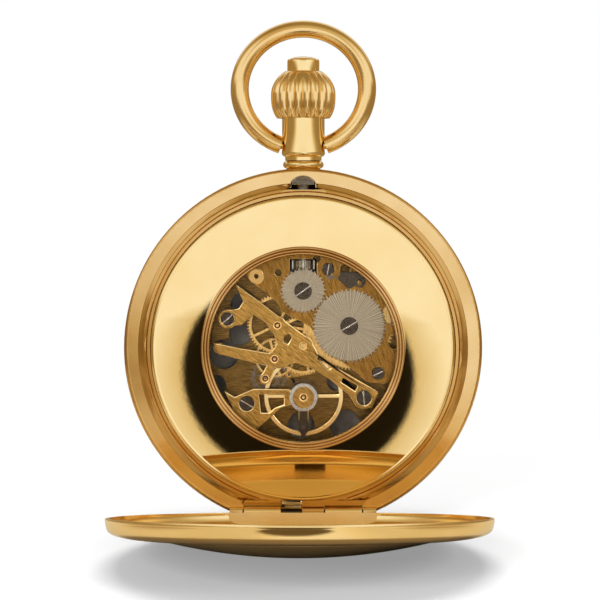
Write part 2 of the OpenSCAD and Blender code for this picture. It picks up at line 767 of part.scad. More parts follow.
module click_spring() {
    color(steel) watch() {
        translate([0, 0, winding_z]) linear_extrude(0.3) {
            polygon([[3.55, 9.7], [3.75, 9.75], [4.8, 9.6], [4.84, 9.75], [4.1, 10.1], [3.95, 9.98]]);
            translate([3.62, 9.75]) circle(0.32, $fn = 32);
        }
        at([3.62, 9.75], barrel_bridge_z + 0.1)
            cylinder(r = 0.18, h = winding_z - barrel_bridge_z, $fn = 32);
    }
}

// Plates and bridges

module plate_openings() {
    translate([-11.2, -1.2]) circle(2.1);
    translate([-8.4, 5.8]) circle(1.9);
    translate([-12.4, -5.6]) circle(1.5);
    translate([-8.9, 1.6]) circle(1.6);
    translate([4.9, -4.9]) circle(1.6);
    translate([5.9, -11.2]) circle(2.2);
    translate([-0.3, -11.2]) circle(1.9);
    translate([9.6, 11.6]) circle(1.7);
    translate([-0.6, 4.6]) circle(1.3);
}

module main_plate() {
    train = [centre_at, third_at, fourth_at, escape_at, pallet_at, balance_at];
    color(gilt) watch() difference() {
        translate([0, 0, plate_z - plate_t]) linear_extrude(plate_t) difference() {
            circle(plate_r, $fn = 180);
            plate_openings();
            for (place = train) translate(place) circle(0.5, $fn = 48);
            translate(barrel_at) circle(0.6 + run);
            for (screw = bridge_screw_list) translate(screw[0])
                circle(screw_shank * screw_size(screw) + eps);
            for (a = case_screw_angles) rotate(a) translate([plate_r - 0.6, 0]) circle(0.35 + eps);
            for (a = [0, 180]) rotate(a) translate([plate_r - 1.2, 0]) circle(0.4 + fit);
            translate([-1.9, crown_wheel_at.y + 0.4]) square([3.8, 4]);
        }
        pendant_line(6) cylinder(r = arbor_r + run, h = 20);
        at(minute_wheel_at, plate_z - plate_t - eps) cylinder(r = 0.25 + eps, h = plate_t / 2);
    }
    color(gilt) watch() at(minute_wheel_at, plate_z - plate_t - 0.7)
        cylinder(r = 0.25, h = 0.7 + plate_t / 2 - eps, $fn = 48);
}

// Shank size of a screw as a share of its head
function screw_size(screw) = screw[1];

// Hole and head seat of a screw in a bridge
module screw_seat(screw, z) {
    at(screw[0], plate_z - 1) cylinder(r = screw_shank * screw_size(screw) + fit, h = 5, $fn = 48);
    at(screw[0], z - 0.25) cylinder(r = screw[1] + run, h = 2, $fn = 48);
}

module bridge_screws() {
    color(dark_steel) watch() for (i = [0:len(bridge_screw_list) - 1]) {
        screw = bridge_screw_list[i];
        head = screw_head_z(i);
        at(screw[0], head) rotate(40 + 55 * i) slotted_head(screw[1], 0.3);
        at(screw[0], plate_z - plate_t) cylinder(r = screw_shank * screw_size(screw),
            h = head - plate_z + plate_t, $fn = 48);
    }
}

// Underside of the head of each bridge screw
function screw_head_z(i) = i == 5 ? pallet_top - 0.1 : i == 3 || i == 4
    ? barrel_bridge_z + barrel_bridge_t - 0.1 : top_z - 0.25;
pallet_low = -0.14;
pallet_top = 0.06;

module barrel_bridge() {
    color(gilt) watch() difference() {
        union() {
            translate([0, 0, barrel_bridge_z]) linear_extrude(barrel_bridge_t) difference() {
                intersection() {
                    circle(plate_r - 1.5, $fn = 180);
                    polygon([[-11, 16], [-7.6, 9.4], [-5.2, 7.6], [-3.6, 6.2], [-2.9, 4.9], [0.9, 2.9],
                        [2.4, 0.6], [4.6, -1.5], [7, -3.2], [8.9, -4.9], [11.2, -5.2], [20, -3], [20, 20],
                        [-11, 20]]);
                }
                translate([-1.9, crown_wheel_at.y + 2.4]) square([3.8, 2]);
                translate([-6.6, 9.9]) circle(1.06);
                translate([1.9, 12.4]) circle(0.55);
                translate([-3.5, 10.4]) circle(0.5);
                translate([5.9, 10.9]) circle(0.7);
                translate([12.6, 4.6]) circle(1.5);
                translate([13, 0.8]) circle(1.1);
                translate(barrel_at) circle(0.6 + run);
                translate(crown_wheel_at) circle(0.4);
                translate([3.62, 9.75]) circle(0.2);
            }
            for (screw = barrel_screws) at(screw[0], plate_z) cylinder(r = screw[1] + 0.35,
                h = barrel_bridge_z - plate_z + eps);
            at([-9.6, 11.4], plate_z) cylinder(r = 1.2, h = barrel_bridge_z - plate_z + eps);
            at(click_at, barrel_bridge_z) cylinder(r = 0.3, h = barrel_bridge_t + winding_wheel_t + run);
        }
        for (screw = barrel_screws) {
            screw_seat(screw, barrel_bridge_z + barrel_bridge_t + 0.15);
        }
    }
}

module train_bridge() {
    color(gilt) watch() difference() {
        union() {
            translate([0, 0, bridge_z]) linear_extrude(bridge_t) difference() {
                union() {
                    polygon([[-9.6, 8.9], [-9.1, 8.6], [-4, 4.75], [0, 1.75], [1.5, 0.2], [2.1, -1],
                        [3.2, -2.1], [4.9, -3], [10.6, -6.3], [9.6, -8.6], [7.4, -8.3], [6.3, -6.6],
                        [3.4, -4.3], [1, -2.9], [-1.1, -2.2], [-2.9, -2.9], [-3.4, -3],
                        [-11.9, -1], [-12.6, 0.6], [-9.3, -0.1], [-4.6, -0.9], [-3.6, 0.5], [-4, 1.6],
                        [-5.2, 3.4], [-7, 4.6], [-8.6, 3.1], [-10.8, 2.9], [-11.6, 4.4], [-10.4, 5.2],
                        [-9, 5.4], [-8.4, 6.4]]);
                    translate(fourth_at) circle(1.1);
                    translate(third_at) circle(1.25);
                    translate(centre_at) circle(1.4);
                    translate(escape_at) circle(0.8);
                    translate(train_screws[0][0]) circle(1.35);
                    translate(train_screws[1][0]) circle(1.6);
                    polygon([[-4.8, -2], [-3.7, -2.2], [-4.7, -4.8], [-5.9, -4.2]]);
                }
                polygon([[-2.7, 1.5], [-1.9, 1.9], [-1.6, 1.3], [-2.1, 0.4], [-2.8, 0.7]]);
                polygon([[1.9, -1.6], [3.4, -3.2], [3.9, -3], [2.3, -1.3]]);
                polygon([[5.6, -4.3], [7.6, -5.4], [7.3, -6.2], [5.3, -4.9]]);
                for (place = [centre_at, third_at, fourth_at, escape_at]) translate(place)
                    circle(0.5, $fn = 48);
            }
            for (screw = train_screws) at(screw[0], plate_z) cylinder(r = screw[1] + 0.35,
                h = bridge_z - plate_z + eps);
            at([-11.9, -0.2], plate_z) cylinder(r = 0.75, h = bridge_z - plate_z + eps);
        }
        for (screw = train_screws) screw_seat(screw, top_z);
    }
}

module balance_cock() {
    color(gilt) watch() difference() {
        union() {
            translate([0, 0, bridge_z]) linear_extrude(bridge_t) difference() {
                union() {
                    polygon([[-11, -6.2], [-9.6, -7], [-7, -5.85], [-2, -5.9], [-1.5, -6.4], [-1.5, -8],
                        [-3.3, -8.6], [-4.4, -9.7], [-6.5, -11.6], [-9.3, -9.9]]);
                    translate(balance_at) circle(1.95);
                    translate(cock_screw[0]) circle(1.5);
                    polygon([[-0.75, -7], [0.85, -7], [0.75, -10.2], [-0.65, -10.2]]);
                }
                polygon([[-6.2, -6.6], [-2.7, -6.6], [-2.7, -8.1], [-4, -8.5], [-4.7, -9.2], [-5.9, -9.2]]);
                translate(balance_at) circle(0.5, $fn = 48);
            }
            at(cock_screw[0], plate_z) cylinder(r = 1.35, h = bridge_z - plate_z + eps);
            at([-7.6, -10.1], plate_z) cylinder(r = 0.7, h = bridge_z - plate_z + eps);
        }
        screw_seat(cock_screw, top_z);
    }
}

module pallet_cock() {
    color(gilt) watch() difference() {
        union() {
            translate([0, 0, pallet_low]) linear_extrude(pallet_top - pallet_low) difference() {
                union() {
                    translate(pallet_at) circle(0.5, $fn = 48);
                    translate(pallet_screw[0]) circle(0.75);
                    polygon([pallet_at + [0.1, 0.45], pallet_at + [0.3, -0.4],
                        pallet_screw[0] + [0.1, -0.7], pallet_screw[0] + [-0.1, 0.7]]);
                }
                translate(pallet_at) circle(0.3, $fn = 48);
            }
            at(pallet_screw[0], plate_z) cylinder(r = 0.75, h = pallet_low - plate_z + eps);
        }
        at(pallet_screw[0], plate_z - 1) cylinder(r = screw_shank * pallet_screw[1] + fit, h = 3, $fn = 48);
        at(pallet_screw[0], pallet_top - 0.1) cylinder(r = pallet_screw[1] + run, h = 1, $fn = 48);
    }
}

// Ring of a bearing jewel, with the hole for its pivot
module jewel(place, z, h, outer, pivot) {
    at(place, z) difference() {
        cylinder(r = outer, h = h, $fn = 48);
        translate([0, 0, -1]) cylinder(r = pivot, h = h + 2, $fn = 32);
    }
}

module jewels() {
    hole = train_pivot_r + fit;
    color(ruby) watch() {
        for (place = [third_at, fourth_at, escape_at]) {
            jewel(place, top_z - 0.45, 0.4, 0.5, hole);
            jewel(place, plate_z - plate_t + 0.1, 0.4, 0.5, hole);
        }
        jewel(centre_at, top_z - 0.45, 0.4, 0.5, centre_arbor_r + fit);
        jewel(centre_at, plate_z - plate_t + 0.1, 0.4, 0.5, centre_arbor_r + fit);
        jewel(pallet_at, pallet_low, pallet_top - pallet_low, 0.3, hole);
        jewel(pallet_at, plate_z - plate_t + 0.1, 0.4, 0.5, hole);
        jewel(balance_at, top_z - 0.45, 0.4, 0.5, hole);
        jewel(balance_at, plate_z - plate_t + 0.1, 0.4, 0.5, hole);
        jewel([-6.6, 9.9], barrel_bridge_z, barrel_bridge_t, 1.06, 0.3);
    }
}

module movement_ring() {
    color(gilt) watch() difference() {
        rotate_extrude($fn = 180) polygon([[plate_r - 0.7, ring_front_z],
            [ring_r, ring_front_z], [ring_r, ring_back_z], [plate_r + 1.1, ring_back_z],
            [plate_r + 1.1, plate_z], [plate_r + run, plate_z], [plate_r + run, plate_z - plate_t],
            [plate_r - 0.7, plate_z - plate_t]]);
        pendant_line(plate_r - 3) cylinder(r = catch_r - 0.7, h = ring_w + 4);
        for (a = [0, 180]) rotate(a) translate([plate_r - 1.2, 0, -5]) cylinder(r = 0.4 + gap, h = 10);
        for (a = case_screw_angles) rotate(a) translate([plate_r - 0.6, 0, -5])
            cylinder(r = 0.35 + gap, h = 10);
    }
}

module case_screws() {
    color(dark_steel) watch() for (a = case_screw_angles) rotate(a) translate([plate_r - 0.6, 0, 0]) {
        translate([0, 0, plate_z]) rotate(25) slotted_head(1.1, 0.35);
        translate([0, 0, plate_z - plate_t]) cylinder(r = 0.35, h = plate_t, $fn = 48);
    }
}

// Going train

centre_pinion_turn = mesh_turn(barrel_at, centre_at, barrel_teeth, 0, centre_leaves);
centre_turn = centre_pinion_turn;
third_turn = mesh_turn(centre_at, third_at, centre_teeth, centre_turn, third_leaves);
fourth_turn = mesh_turn(third_at, fourth_at, third_teeth, third_turn, fourth_leaves);
escape_turn = mesh_turn(fourth_at, escape_at, fourth_teeth, fourth_turn, escape_leaves);
minute_turn = mesh_turn(centre_at, minute_wheel_at, cannon_leaves, centre_turn, minute_teeth);
hour_turn = mesh_turn(minute_wheel_at, centre_at, minute_leaves, minute_turn, hour_teeth);

// Arbor of a train wheel, from the main plate to its bridge
module train_arbor(r, low, high) {
    translate([0, 0, plate_z - plate_t + 0.1])
        cylinder(r = train_pivot_r, h = top_z - plate_z + plate_t - 0.2, $fn = 32);
    translate([0, 0, low]) cylinder(r = r, h = high - low, $fn = 32);
}

module centre_wheel() {
    color(gilt) watch() at(centre_at) rotate(centre_turn) {
        translate([0, 0, centre_wheel_z]) spoked_wheel(centre_teeth, centre_module, wheel_t, 0.95, 5);
        translate([0, 0, barrel_z - 0.02]) pinion(centre_leaves, barrel_module, barrel_tooth_t + 0.05);
        translate([0, 0, minute_hand_z]) cylinder(r = centre_arbor_r, h = top_z - minute_hand_z - 0.1);
        translate([0, 0, barrel_z + barrel_tooth_t])
            cylinder(r = 0.5, h = centre_wheel_z - barrel_z - barrel_tooth_t);
    }
}

module third_wheel() {
    color(gilt) watch() at(third_at) rotate(third_turn) {
        translate([0, 0, third_wheel_z]) spoked_wheel(third_teeth, third_module, wheel_t, 0.8, 5);
        translate([0, 0, centre_wheel_z - 0.05]) pinion(third_leaves, centre_module, wheel_t + 0.1);
        train_arbor(0.25, third_wheel_z - 0.2, centre_wheel_z);
    }
}

module fourth_wheel() {
    color(gilt) watch() at(fourth_at) rotate(fourth_turn) {
        translate([0, 0, fourth_wheel_z]) spoked_wheel(fourth_teeth, fourth_module, wheel_t - 0.03, 0.6, 4);
        translate([0, 0, third_wheel_z - 0.05]) pinion(fourth_leaves, third_module, wheel_t + 0.1);
        train_arbor(0.25, fourth_wheel_z - 0.2, third_wheel_z);
    }
}

module escape_wheel() {
    color(steel) watch() at(escape_at) rotate(escape_turn) {
        translate([0, 0, escape_wheel_z]) linear_extrude(0.14) difference() {
            polygon([for (i = [0:escape_teeth - 1]) for (k = [0:3])
                let (a = 360 / escape_teeth * (i + [0, 0.12, 0.22, 0.85][k]))
                let (r = escape_r * [0.8, 1, 1, 0.8][k]) [r * cos(a), r * sin(a)]]);
            difference() {
                circle(escape_r * 0.68);
                circle(0.4);
                for (a = [0:90:359]) rotate(a) translate([0, -0.13]) square([escape_r, 0.26]);
            }
        }
        translate([0, 0, fourth_wheel_z - 0.06]) pinion(escape_leaves, fourth_module, wheel_t + 0.12);
        train_arbor(0.2, escape_wheel_z, fourth_wheel_z);
    }
}

// Pallet fork: its arms reach both sides of the escape wheel and its lever the balance
module pallet_fork() {
    to_wheel = atan2(escape_at.y - pallet_at.y, escape_at.x - pallet_at.x);
    to_balance = atan2(balance_at.y - pallet_at.y, balance_at.x - pallet_at.x);
    reach = norm(balance_at - pallet_at) - 0.75;
    wheel_gap = norm(escape_at - pallet_at);
    color(steel) watch() {
        translate([0, 0, escape_wheel_z]) linear_extrude(0.14) {
            translate(pallet_at) {
                circle(0.3, $fn = 48);
                rotate(to_balance) difference() {
                    polygon([[0, -0.22], [reach - 0.5, -0.13], [reach - 0.3, -0.36], [reach, -0.36],
                        [reach, 0.36], [reach - 0.3, 0.36], [reach - 0.5, 0.13], [0, 0.22]]);
                    translate([reach - 0.25, -0.16]) square([1, 0.32]);
                }
            }
            for (side = [-1, 1]) {
                lean = side * 31;
                turn = to_wheel + 180 + lean;
                stone = escape_at + (escape_r + 0.32) * [cos(turn), sin(turn)];
                along = stone - pallet_at;
                across = 0.16 * [-along.y, along.x] / norm(along);
                polygon([pallet_at - across, pallet_at + across, stone + across, stone - across]);
                translate(stone) rotate(to_wheel + 180 + lean) square([0.42, 0.3], center = true);
            }
        }
        at(pallet_at, plate_z - plate_t + 0.1) cylinder(r = train_pivot_r,
            h = pallet_top - plate_z + plate_t - 0.1, $fn = 32);
    }
}

module balance_wheel() {
    color(gold) watch() at(balance_at) {
        translate([0, 0, balance_z]) linear_extrude(balance_t) {
            difference() {
                circle(balance_r);
                circle(balance_r - 0.62);
            }
            square([2 * balance_r - 0.8, 0.5], center = true);
            circle(0.8);
        }
        translate([0, 0, plate_z - plate_t + 0.1]) cylinder(r = train_pivot_r,
            h = top_z - plate_z + plate_t - 0.2, $fn = 32);
        translate([0, 0, 0.06]) cylinder(r = 0.25, h = hairspring_z + hairspring_t, $fn = 32);
    }
}

module roller() {
    color(steel) watch() at(balance_at) {
        difference() {
            translate([0, 0, -0.14]) cylinder(r = 1, h = 0.15, $fn = 48);
            translate([0, 0, -1]) cylinder(r = train_pivot_r + eps, h = 3, $fn = 32);
        }
        rotate(atan2(pallet_at.y - balance_at.y, pallet_at.x - balance_at.x))
            translate([0.75, 0, escape_wheel_z + 0.14 + 0.03]) cylinder(r = 0.12, h = 0.08, $fn = 24);
    }
}

// Flat spiral of the hairspring
spiral_turns = 3.5;
spiral_pitch = 0.5;
spiral_start = 0.55;
spiral_w = 0.07;
function spiral_point(turn, side) =
    (spiral_start + spiral_pitch * turn + side * spiral_w / 2) * [cos(360 * turn), sin(360 * turn)];

module hairspring() {
    steps = 26;
    last = spiral_turns * steps;
    color(steel) watch() at(balance_at, hairspring_z) {
        linear_extrude(hairspring_t) polygon(concat(
            [for (i = [0:last]) spiral_point(i / steps, 1)],
            [for (i = [last:-1:0]) spiral_point(i / steps, -1)]));
        linear_extrude(hairspring_t) difference() {
            circle(spiral_start + 0.02, $fn = 48);
            circle(0.25 + eps, $fn = 32);
        }
        translate([-spiral_start - spiral_pitch * spiral_turns, 0, 0])
            cylinder(r = 0.14, h = bridge_z - hairspring_z, $fn = 24);
    }
}
spiral_gap = min([for (i = [0:90]) let (turn = i / 26) min([for (k = [-6:6])
    norm(spiral_point(turn + 1 + k / 52, -1) - spiral_point(turn, 1))])]);

module regulator() {
    z = top_z + run;
    color(dark_steel) watch() at(balance_at, z) linear_extrude(0.25) difference() {
        union() {
            circle(1.96);
            polygon([[-0.5, -1.7], [-0.6, -3.3], [-0.75, -3.6], [-0.75, -4.6], [-0.35, -5.1], [-0.3, -5.6],
                [0.3, -5.6], [0.35, -5.1], [0.75, -4.6], [0.75, -3.6], [0.6, -3.3], [0.5, -1.7]]);
        }
        circle(1.5);
        translate([0, -4.1]) circle(0.28, $fn = 32);
    }
}

// Dial side

module cannon_pinion() {
    color(steel) watch() at(centre_at) rotate(centre_turn) difference() {
        union() {
            translate([0, 0, hour_wheel_z + 0.25]) pinion(cannon_leaves, cannon_module, 0.32);
            translate([0, 0, minute_hand_z + 0.1])
                cylinder(r = 0.55, h = hour_wheel_z - minute_hand_z + 0.25, $fn = 48);
        }
        translate([0, 0, minute_hand_z - 1]) cylinder(r = centre_arbor_r + eps, h = 6);
    }
}

module minute_wheel() {
    color(gilt) watch() at(minute_wheel_at) rotate(minute_turn) difference() {
        union() {
            translate([0, 0, minute_wheel_z]) gear(minute_teeth, cannon_module, 0.2);
            translate([0, 0, hour_wheel_z])
                pinion(minute_leaves, hour_module, minute_wheel_z - hour_wheel_z + eps);
        }
        translate([0, 0, -4]) cylinder(r = 0.25 + run, h = 6, $fn = 48);
    }
}

module hour_wheel() {
    color(gilt) watch() at(centre_at) rotate(hour_turn) difference() {
        union() {
            translate([0, 0, hour_wheel_z]) gear(hour_teeth, hour_module, 0.2);
            translate([0, 0, hour_hand_z]) cylinder(r = 0.85, h = hour_wheel_z - hour_hand_z + 0.1);
        }
        translate([0, 0, hour_hand_z - 1]) cylinder(r = 0.55 + run, h = 4);
    }
}

module dial() {
    color(dial_white) watch() {
        translate([0, 0, dial_z - dial_t]) difference() {
            cylinder(r = ring_r - 0.1, h = dial_t, $fn = 180);
            at(centre_at, -1) cylinder(r = 1, h = 3);
        }
        for (a = [0, 180]) rotate(a) translate([plate_r - 1.2, 0, dial_z - eps])
            cylinder(r = 0.4, h = plate_z - 0.2 - dial_z, $fn = 32);
    }
}

// A leaf hand that points up from its boss, as one outline
module hand(length, width, boss, hole) {
    side = acos(0.2 / boss);
    blade = [[-0.25, length * 0.35], [-width / 2, length * 0.62], [-0.12, length * 0.96], [0, length],
        [0.12, length * 0.96], [width / 2, length * 0.62], [0.25, length * 0.35]];
    linear_extrude(0.2) difference() {
        polygon(concat(blade, arc([0, 0], boss, side, -side, 16), [[0.35, -2.2], [-0.35, -2.2]],
            arc([0, 0], boss, 180 + side, 180 - side, 16)));
        circle(hole, $fn = 48);
    }
}

module hour_hand() {
    color(hand_blue) watch() at(centre_at, hour_hand_z) rotate(52) hand(hour_length, 1.5, 1.2, 0.85);
}

module minute_hand() {
    color(hand_blue) watch() at(centre_at, minute_hand_z + 0.1) rotate(-60)
        hand(minute_length, 1.1, 0.9, 0.55);
}

echo(shift_y = shift_y, back_open = back_open, bow_pin_y = bow_pin_y, spiral_gap = spiral_gap);
case_band();
pendant();
inner_cover();
window_ring();
window_glass();
front_bezel();
front_glass();
dial();
movement_ring();
main_plate();
barrel_bridge();
train_bridge();
pallet_cock();
balance_cock();
jewels();
bridge_screws();
case_screws();
crown_wheel_screw();
click_spring();
hinge_pins();
lift_springs();
lock_spring();
lock_catch();
back_cover();
front_cover();
bow();
crown();
case_stem();
push_button();
winding_arbor();
winding_pinion();
clutch();
crown_wheel();
ratchet_wheel();
ratchet_screw();
barrel_arbor();
barrel();
mainspring();
click();
centre_wheel();
cannon_pinion();
minute_hand();
third_wheel();
fourth_wheel();
escape_wheel();
minute_wheel();
hour_wheel();
hour_hand();
pallet_fork();
balance_wheel();
roller();
hairspring();
regulator();
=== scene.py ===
# %% [markdown]
# # Double hunter pocket watch
# The watch stands on its opened back cover, so that we look through the round back window at the
# movement. The exact solids come from the CAD frame; this lesson gives them finishes, makes fuller
# pieces where a mirror polish needs a smooth surface, and lights the whole in a small studio.

import json
import math

import bmesh
import bpy
from mathutils import Matrix, Vector

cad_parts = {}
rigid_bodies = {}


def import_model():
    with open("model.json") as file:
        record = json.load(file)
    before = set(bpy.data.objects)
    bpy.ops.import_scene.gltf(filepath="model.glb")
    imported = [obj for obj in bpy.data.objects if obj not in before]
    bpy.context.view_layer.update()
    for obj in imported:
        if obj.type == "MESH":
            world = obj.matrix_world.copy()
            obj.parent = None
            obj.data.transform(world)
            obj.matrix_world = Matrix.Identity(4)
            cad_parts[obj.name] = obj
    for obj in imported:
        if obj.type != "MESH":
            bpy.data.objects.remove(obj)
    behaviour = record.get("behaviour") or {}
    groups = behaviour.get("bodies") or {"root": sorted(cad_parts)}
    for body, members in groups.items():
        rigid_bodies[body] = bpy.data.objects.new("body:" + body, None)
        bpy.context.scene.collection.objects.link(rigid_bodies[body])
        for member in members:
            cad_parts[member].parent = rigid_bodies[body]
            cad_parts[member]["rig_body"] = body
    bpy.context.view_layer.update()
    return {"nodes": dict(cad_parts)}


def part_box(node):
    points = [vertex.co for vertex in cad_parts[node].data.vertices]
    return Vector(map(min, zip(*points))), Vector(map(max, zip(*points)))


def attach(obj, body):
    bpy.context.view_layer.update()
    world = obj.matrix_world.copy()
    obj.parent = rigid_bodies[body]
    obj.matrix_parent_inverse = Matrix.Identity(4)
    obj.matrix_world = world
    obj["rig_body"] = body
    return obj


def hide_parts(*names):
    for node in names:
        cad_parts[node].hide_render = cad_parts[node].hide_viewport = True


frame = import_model()

# %% [markdown]
# ## Where things are
# The watch has its own frame: x to the right, y up the line from the case centre to the bow, z out
# of the back. It stands upright, so that frame is only turned a quarter and lifted. All lengths
# below are millimetres in that frame, and one matrix takes them to the scene's metres.

# %% The watch's own frame
MM = 0.001
case_low, case_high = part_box("case_band")
MID_Y = (case_low.y + case_high.y) / 2
CASE_R = 25.0
WATCH = (
    Matrix.Translation((0, MID_Y, CASE_R * MM))
    @ Matrix.Rotation(math.pi / 2, 4, "X")
    @ Matrix.Scale(MM, 4)
)
print("the middle plane of the case is at y =", round(MID_Y / MM, 2), "mm")

# %% [markdown]
# ## Camera
# The photograph looks level at the watch's back from about a quarter of a metre. The picture is
# shifted down a little, as a view camera does, so that upright edges stay upright.

# %% Camera
PIXELS_PER_MM = 7.09
DISTANCE = 240.0
CAMERA_X = 3.9
CAMERA_HEIGHT = 48.4
HORIZON_ROW = 180.0
PRINCIPAL_COLUMN = 331.0

camera_data = bpy.data.cameras.new("view_camera")
camera = bpy.data.objects.new("view_camera", camera_data)
bpy.context.scene.collection.objects.link(camera)
camera.location = (CAMERA_X * MM, MID_Y - DISTANCE * MM, CAMERA_HEIGHT * MM)
camera.rotation_euler = (math.pi / 2, 0, 0)
camera_data.sensor_width = 36
camera_data.lens = 36 * PIXELS_PER_MM * DISTANCE / 600
camera_data.shift_x = (300 - PRINCIPAL_COLUMN) / 600
camera_data.shift_y = (HORIZON_ROW - 300) / 600
camera_data.clip_start = 0.01
camera_data.clip_end = 20
bpy.context.scene.camera = camera
print("lens", round(camera_data.lens, 1), "mm")

# %% [markdown]
# ## Small tools for materials
# A colour is written as the hex code that a colour picker shows, and one function turns it into the
# linear values that the shader works with. A second function adds one node with its settings and
# links. The steps that return in many materials, such as a noise or a bump, get a short name too.


# %% Colour and node helpers
def colour(code):
    """Linear colour from an sRGB hex code."""
    parts = [int(code[i : i + 2], 16) / 255 for i in (1, 3, 5)]
    linear = [p / 12.92 if p <= 0.04045 else ((p + 0.055) / 1.055) ** 2.4 for p in parts]
    return (*linear, 1.0)


def add(tree, kind, settings=None, **inputs):
    """Add a node; an input that is a socket gets a link, any other a value."""
    node = tree.nodes.new(kind)
    for name, value in (settings or {}).items():
        setattr(node, name, value)
    for name, value in inputs.items():
        key = int(name[1:]) if name[0] == "i" and name[1:].isdigit() else name.replace("_", " ")
        socket = node.inputs[key]
        if isinstance(value, bpy.types.NodeSocket):
            tree.links.new(value, socket)
        else:
            socket.default_value = value
    return node


def finish_named(name):
    """A new material with its Principled shader, and the tree to add nodes to."""
    material = bpy.data.materials.new(name)
    material.use_nodes = True
    tree = material.node_tree
    return material, tree, tree.nodes["Principled BSDF"]


def ramp(tree, factor, stops):
    """A colour ramp from a list of (position, colour)."""
    node = add(tree, "ShaderNodeValToRGB", Fac=factor)
    elements = node.color_ramp.elements
    while len(elements) < len(stops):
        elements.new(0.5)
    for element, (position, value) in zip(elements, stops):
        element.position = position
        element.color = value
    return node.outputs["Color"]


def own_place(tree):
    """Coordinates that stay with the object when its joint moves."""
    return add(tree, "ShaderNodeTexCoord").outputs["Object"]


def noise(tree, place, scale, detail):
    return add(tree, "ShaderNodeTexNoise", Vector=place, Scale=scale, Detail=detail).outputs["Fac"]


def bump(tree, shader, height, strength, distance):
    """Let a height bend the surface; the distance is in metres."""
    node = add(tree, "ShaderNodeBump", Height=height, Strength=strength, Distance=distance)
    tree.links.new(node.outputs["Normal"], shader.inputs["Normal"])


def centred_on(tree, centre, turn):
    """Coordinates round a point of the world, with their axes turned."""
    return add(
        tree, "ShaderNodeMapping", {"vector_type": "TEXTURE"}, Vector=own_place(tree),
        Location=centre, Rotation=turn,
    ).outputs["Vector"]


def round_about(tree, place):
    """The angle round the z axis, as a share of a full turn."""
    return add(
        tree, "ShaderNodeTexGradient", {"gradient_type": "RADIAL"}, Vector=place
    ).outputs["Fac"]


def vector_step(tree, operation, *parts):
    """One step of arithmetic with vectors."""
    inputs = {"i" + str(i): part for i, part in enumerate(parts)}
    return add(tree, "ShaderNodeVectorMath", {"operation": operation}, **inputs).outputs


def step(tree, operation, a, b=0.0):
    """One step of arithmetic with numbers."""
    return add(tree, "ShaderNodeMath", {"operation": operation}, i0=a, i1=b).outputs[0]


def eased(tree, value, low, high, start=0.0, end=1.0):
    """Go smoothly from start to end while the value goes from low to high."""
    return add(
        tree, "ShaderNodeMapRange", {"interpolation_type": "SMOOTHSTEP"}, Value=value, i1=low,
        i2=high, i3=start, i4=end,
    ).outputs["Result"]


def blend(tree, factor, first, second):
    """Mix two colours."""
    node = add(tree, "ShaderNodeMix", {"data_type": "RGBA"}, Factor=factor, A=first, B=second)
    return next(output for output in node.outputs if output.type == "RGBA")


def surface(tree, shading):
    """Make a shading the surface of the material."""
    tree.links.new(shading, tree.nodes["Material Output"].inputs["Surface"])


# %% [markdown]
# ## Polished gold
# The case is polished gold plate. A new mirror polish reflects its surroundings almost sharply, but
# years in a pocket leave hairlines and a faint unevenness. A fine noise shifts the roughness, and a
# soft bump bends the reflections a little, which keeps the mirror from looking computed.


# %% Polished gold
def polished_gold(name, roughness, wave, light="#FCDFA0", dark="#F8D793"):
    material, tree, shader = finish_named(name)
    place = own_place(tree)
    smears = noise(tree, place, 140.0, 3.0)
    tint = ramp(tree, smears, [(0.3, colour(dark)), (0.7, colour(light))])
    tree.links.new(tint, shader.inputs["Base Color"])
    rough = add(
        tree, "ShaderNodeMapRange", Value=smears, i3=roughness, i4=roughness * 1.7
    ).outputs["Result"]
    tree.links.new(rough, shader.inputs["Roughness"])
    bump(tree, shader, noise(tree, place, 900.0, 2.0), wave, 0.00002)
    shader.inputs["Metallic"].default_value = 1.0
    return material


case_gold = polished_gold("polished_gold", 0.07, 0.04)
dish_gold = polished_gold("mirror_gold", 0.005, 0.003)
worn_gold = polished_gold("rubbed_gold", 0.16, 0.1)
satin_gold = polished_gold("satin_gold", 0.13, 0.05, "#FADB9C", "#F0CA86")
# Darker gold on the band's ledges and rounded outer edge is painted shade, for the darker
# surroundings those tilted faces reflect; on the gold setting beside the crown wheel it is the
# setting's own colour.
ledge_shade_and_setting_gold = polished_gold("darker_gold_for_ledge_shade_and_jewel_setting", 0.12, 0.05, "#DCB16C", "#CC9E58")
# The moulding gets a darker gold than the case.
moulding_gold = polished_gold("darker_gold_of_the_moulding", 0.12, 0.05, "#E0B87C", "#CDA163")
# Darker gold for the band's flat rim is painted shade, for the darker surroundings that the rim
# reflects.
rim_painted_shade_gold = polished_gold("gold_painted_shade_of_the_rim", 0.1, 0.05, "#F2CE90", "#E3BA77")

# %% [markdown]
# ## Gilt plates
# The plates and bridges are brass with a thin fire gilding over a brushed ground. Long soft strokes
# run along the bridges, so one noise is stretched a lot in one direction and feeds both the colour
# and a bump.


# %% Gilt brass
def brushed_gilt(name, light, dark, turn):
    material, tree, shader = finish_named(name)
    along = add(
        tree, "ShaderNodeMapping", {"vector_type": "TEXTURE"}, Vector=own_place(tree),
        Rotation=(0.0, math.radians(turn), 0.0), Scale=(1 / 900, 1 / 900, 1 / 9000),
    ).outputs["Vector"]
    strokes = noise(tree, along, 1.0, 4.0)
    tint = ramp(tree, strokes, [(0.3, colour(dark)), (0.65, colour(light))])
    tree.links.new(tint, shader.inputs["Base Color"])
    bump(tree, shader, strokes, 0.5, 0.00004)
    shader.inputs["Metallic"].default_value = 1.0
    shader.inputs["Roughness"].default_value = 0.32
    return material


